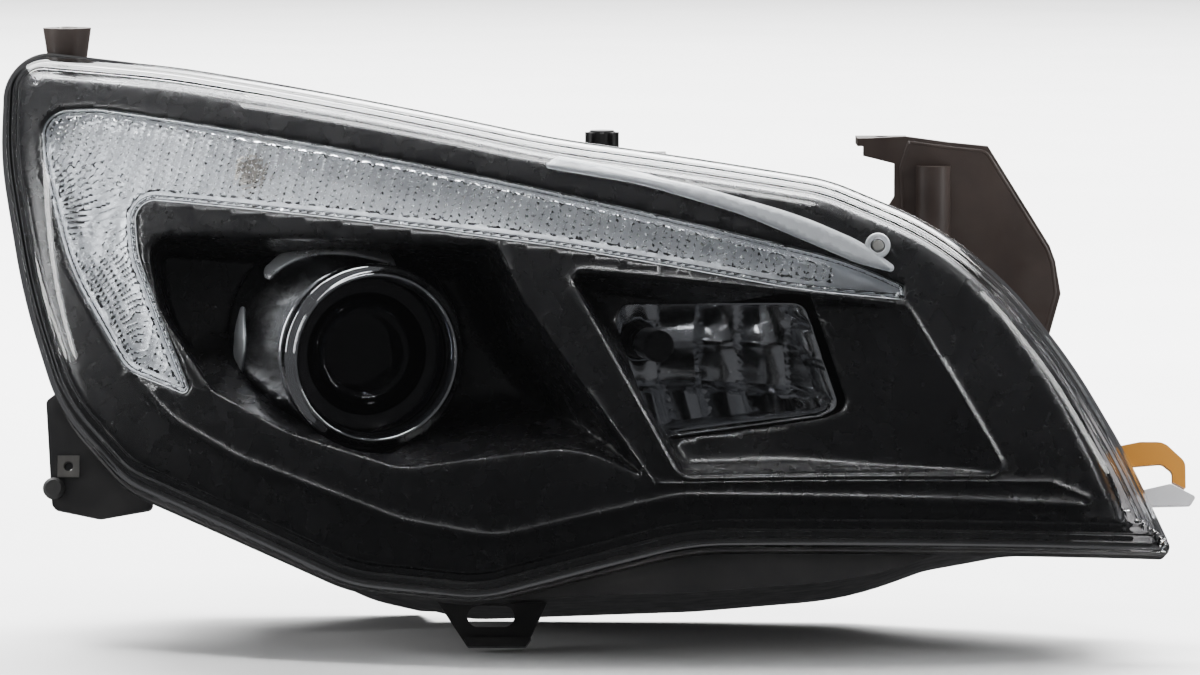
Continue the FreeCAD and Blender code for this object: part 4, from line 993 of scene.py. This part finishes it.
def lights():
    """A softbox above, a strip at each side, two washes for the floor, and a world bright to the camera."""
    centre = (0.27, -0.05, -0.15)
    area_light("top_softbox", (0.1, -0.45, 1.5), centre, 1.5, 0.22, 30)
    area_light("left_strip", (-1.9, -0.55, 0.5), centre, 0.2, 1.3, 24)
    area_light("right_strip", (2.0, -0.8, 0.6), centre, 0.2, 1.2, 18)
    area_light("floor_wash", (0.3, 4.2, 3.2), (0.3, 4.2, -0.3), 7, 6, 1700)
    area_light("near_wash", (0.3, 1.0, 1.9), (0.3, 0.9, -0.3), 2.6, 0.9, 200)
    world = bpy.data.worlds.new("studio")
    bpy.context.scene.world = world
    world.use_nodes = True
    tree = world.node_tree
    background = tree.nodes["Background"]
    path = tree.nodes.new("ShaderNodeLightPath")
    mix = tree.nodes.new("ShaderNodeMix")
    mix.data_type = "RGBA"
    mix.inputs["A"].default_value = (0.08, 0.08, 0.083, 1)
    mix.inputs["B"].default_value = (0.95, 0.95, 0.95, 1)
    tree.links.new(path.outputs["Is Camera Ray"], mix.inputs["Factor"])
    tree.links.new(mix.outputs["Result"], background.inputs["Color"])


def camera():
    """A long lens, straight in front of the lamp and a little above it."""
    elevation, distance = math.radians(6), 2.6
    target = Vector((0.273, -0.080, -0.1516))
    forward = Vector((0, math.cos(elevation), -math.sin(elevation)))
    data = bpy.data.cameras.new("camera")
    data.lens, data.sensor_width, data.sensor_fit = 156, 36, "HORIZONTAL"
    thing = bpy.data.objects.new("camera", data)
    thing.location = target - forward * distance
    thing.rotation_euler = (math.radians(90) - elevation, 0, 0)
    bpy.context.scene.collection.objects.link(thing)
    bpy.context.scene.camera = thing


camera()
stage()
lights()

outer_lens()
inner_bezel()
bezel_skirt()
tip_web()
wing_reflector()
wing_lens()
upper_strip()
projector()
shroud()
barrel_plates()
high_reflector()
bracket_relief()

# Nodes that keep their CAD shape: material, and width of the rounding on their edges.
DRESSED = {
    "rear_housing": (HOUSING, 0),
    "outer_mount_boss": (BRACKET, 0.5),
    "lower_corner_block": (HOUSING, 0.8),
    "lens_seal": (RUBBER, 0),
    "wing_screw": (STEEL, 0),
    "lens_holder": (GLOSS_BLACK, 0),
    # The projector's bowl and shield carry painted shade, as they are seen only through the glass.
    "projector_bowl": (SHADE_DARKENED_CAST, 0),
    "beam_shield": (SHADE_DARKENED_CAST, 0),
    "low_beam_bulb": (BULB_GLASS, 0),
    "low_beam_bulb_retainer": (STEEL, 0),
    "high_beam_bulb": (BULB_GLASS, 0),
    "high_beam_bulb_cap": (BULB_BLACK, 0),
    "aiming_frame": (GREY, 0),
    "pivot_ball_stud": (STEEL, 0),
    "pivot_socket": (NYLON, 0),
    "side_adjuster_nut": (NYLON, 0),
    "horizontal_adjuster": (NYLON, 0.3),
    "leveling_rod": (NYLON, 0),
    "leveling_motor": (SATIN_BLACK, 0.6),
    "vertical_adjuster": (NYLON, 0.3),
    "low_beam_cap": (RUBBER, 0.8),
    "high_beam_cap": (RUBBER, 0.8),
    "turn_bulb_socket": (GREY, 0.4),
    "turn_bulb": (SILVERED, 0),
    "position_bulb_socket": (GREY, 0.4),
    "position_bulb": (BULB_GLASS, 0),
    "main_connector": (HOUSING, 0.5),
    "vent_cap": (RUBBER, 0.4),
    "grille_bracket": (BRACKET, 0.8),
    "bracket_screws": (STEEL, 0.3),
    "retainer_loop": (AMBER, 1.2),
    "guide_tongue": (PALE, 0.8),
    "speed_nut": (STEEL, 0.2),
    "lower_stop": (RUBBER, 0.5),
    "locating_peg": (HOUSING, 0.5),
    "outer_mount_sleeve": (STEEL, 0),
}
for node, (material, rounding) in DRESSED.items():
    dress(node, material, rounding)
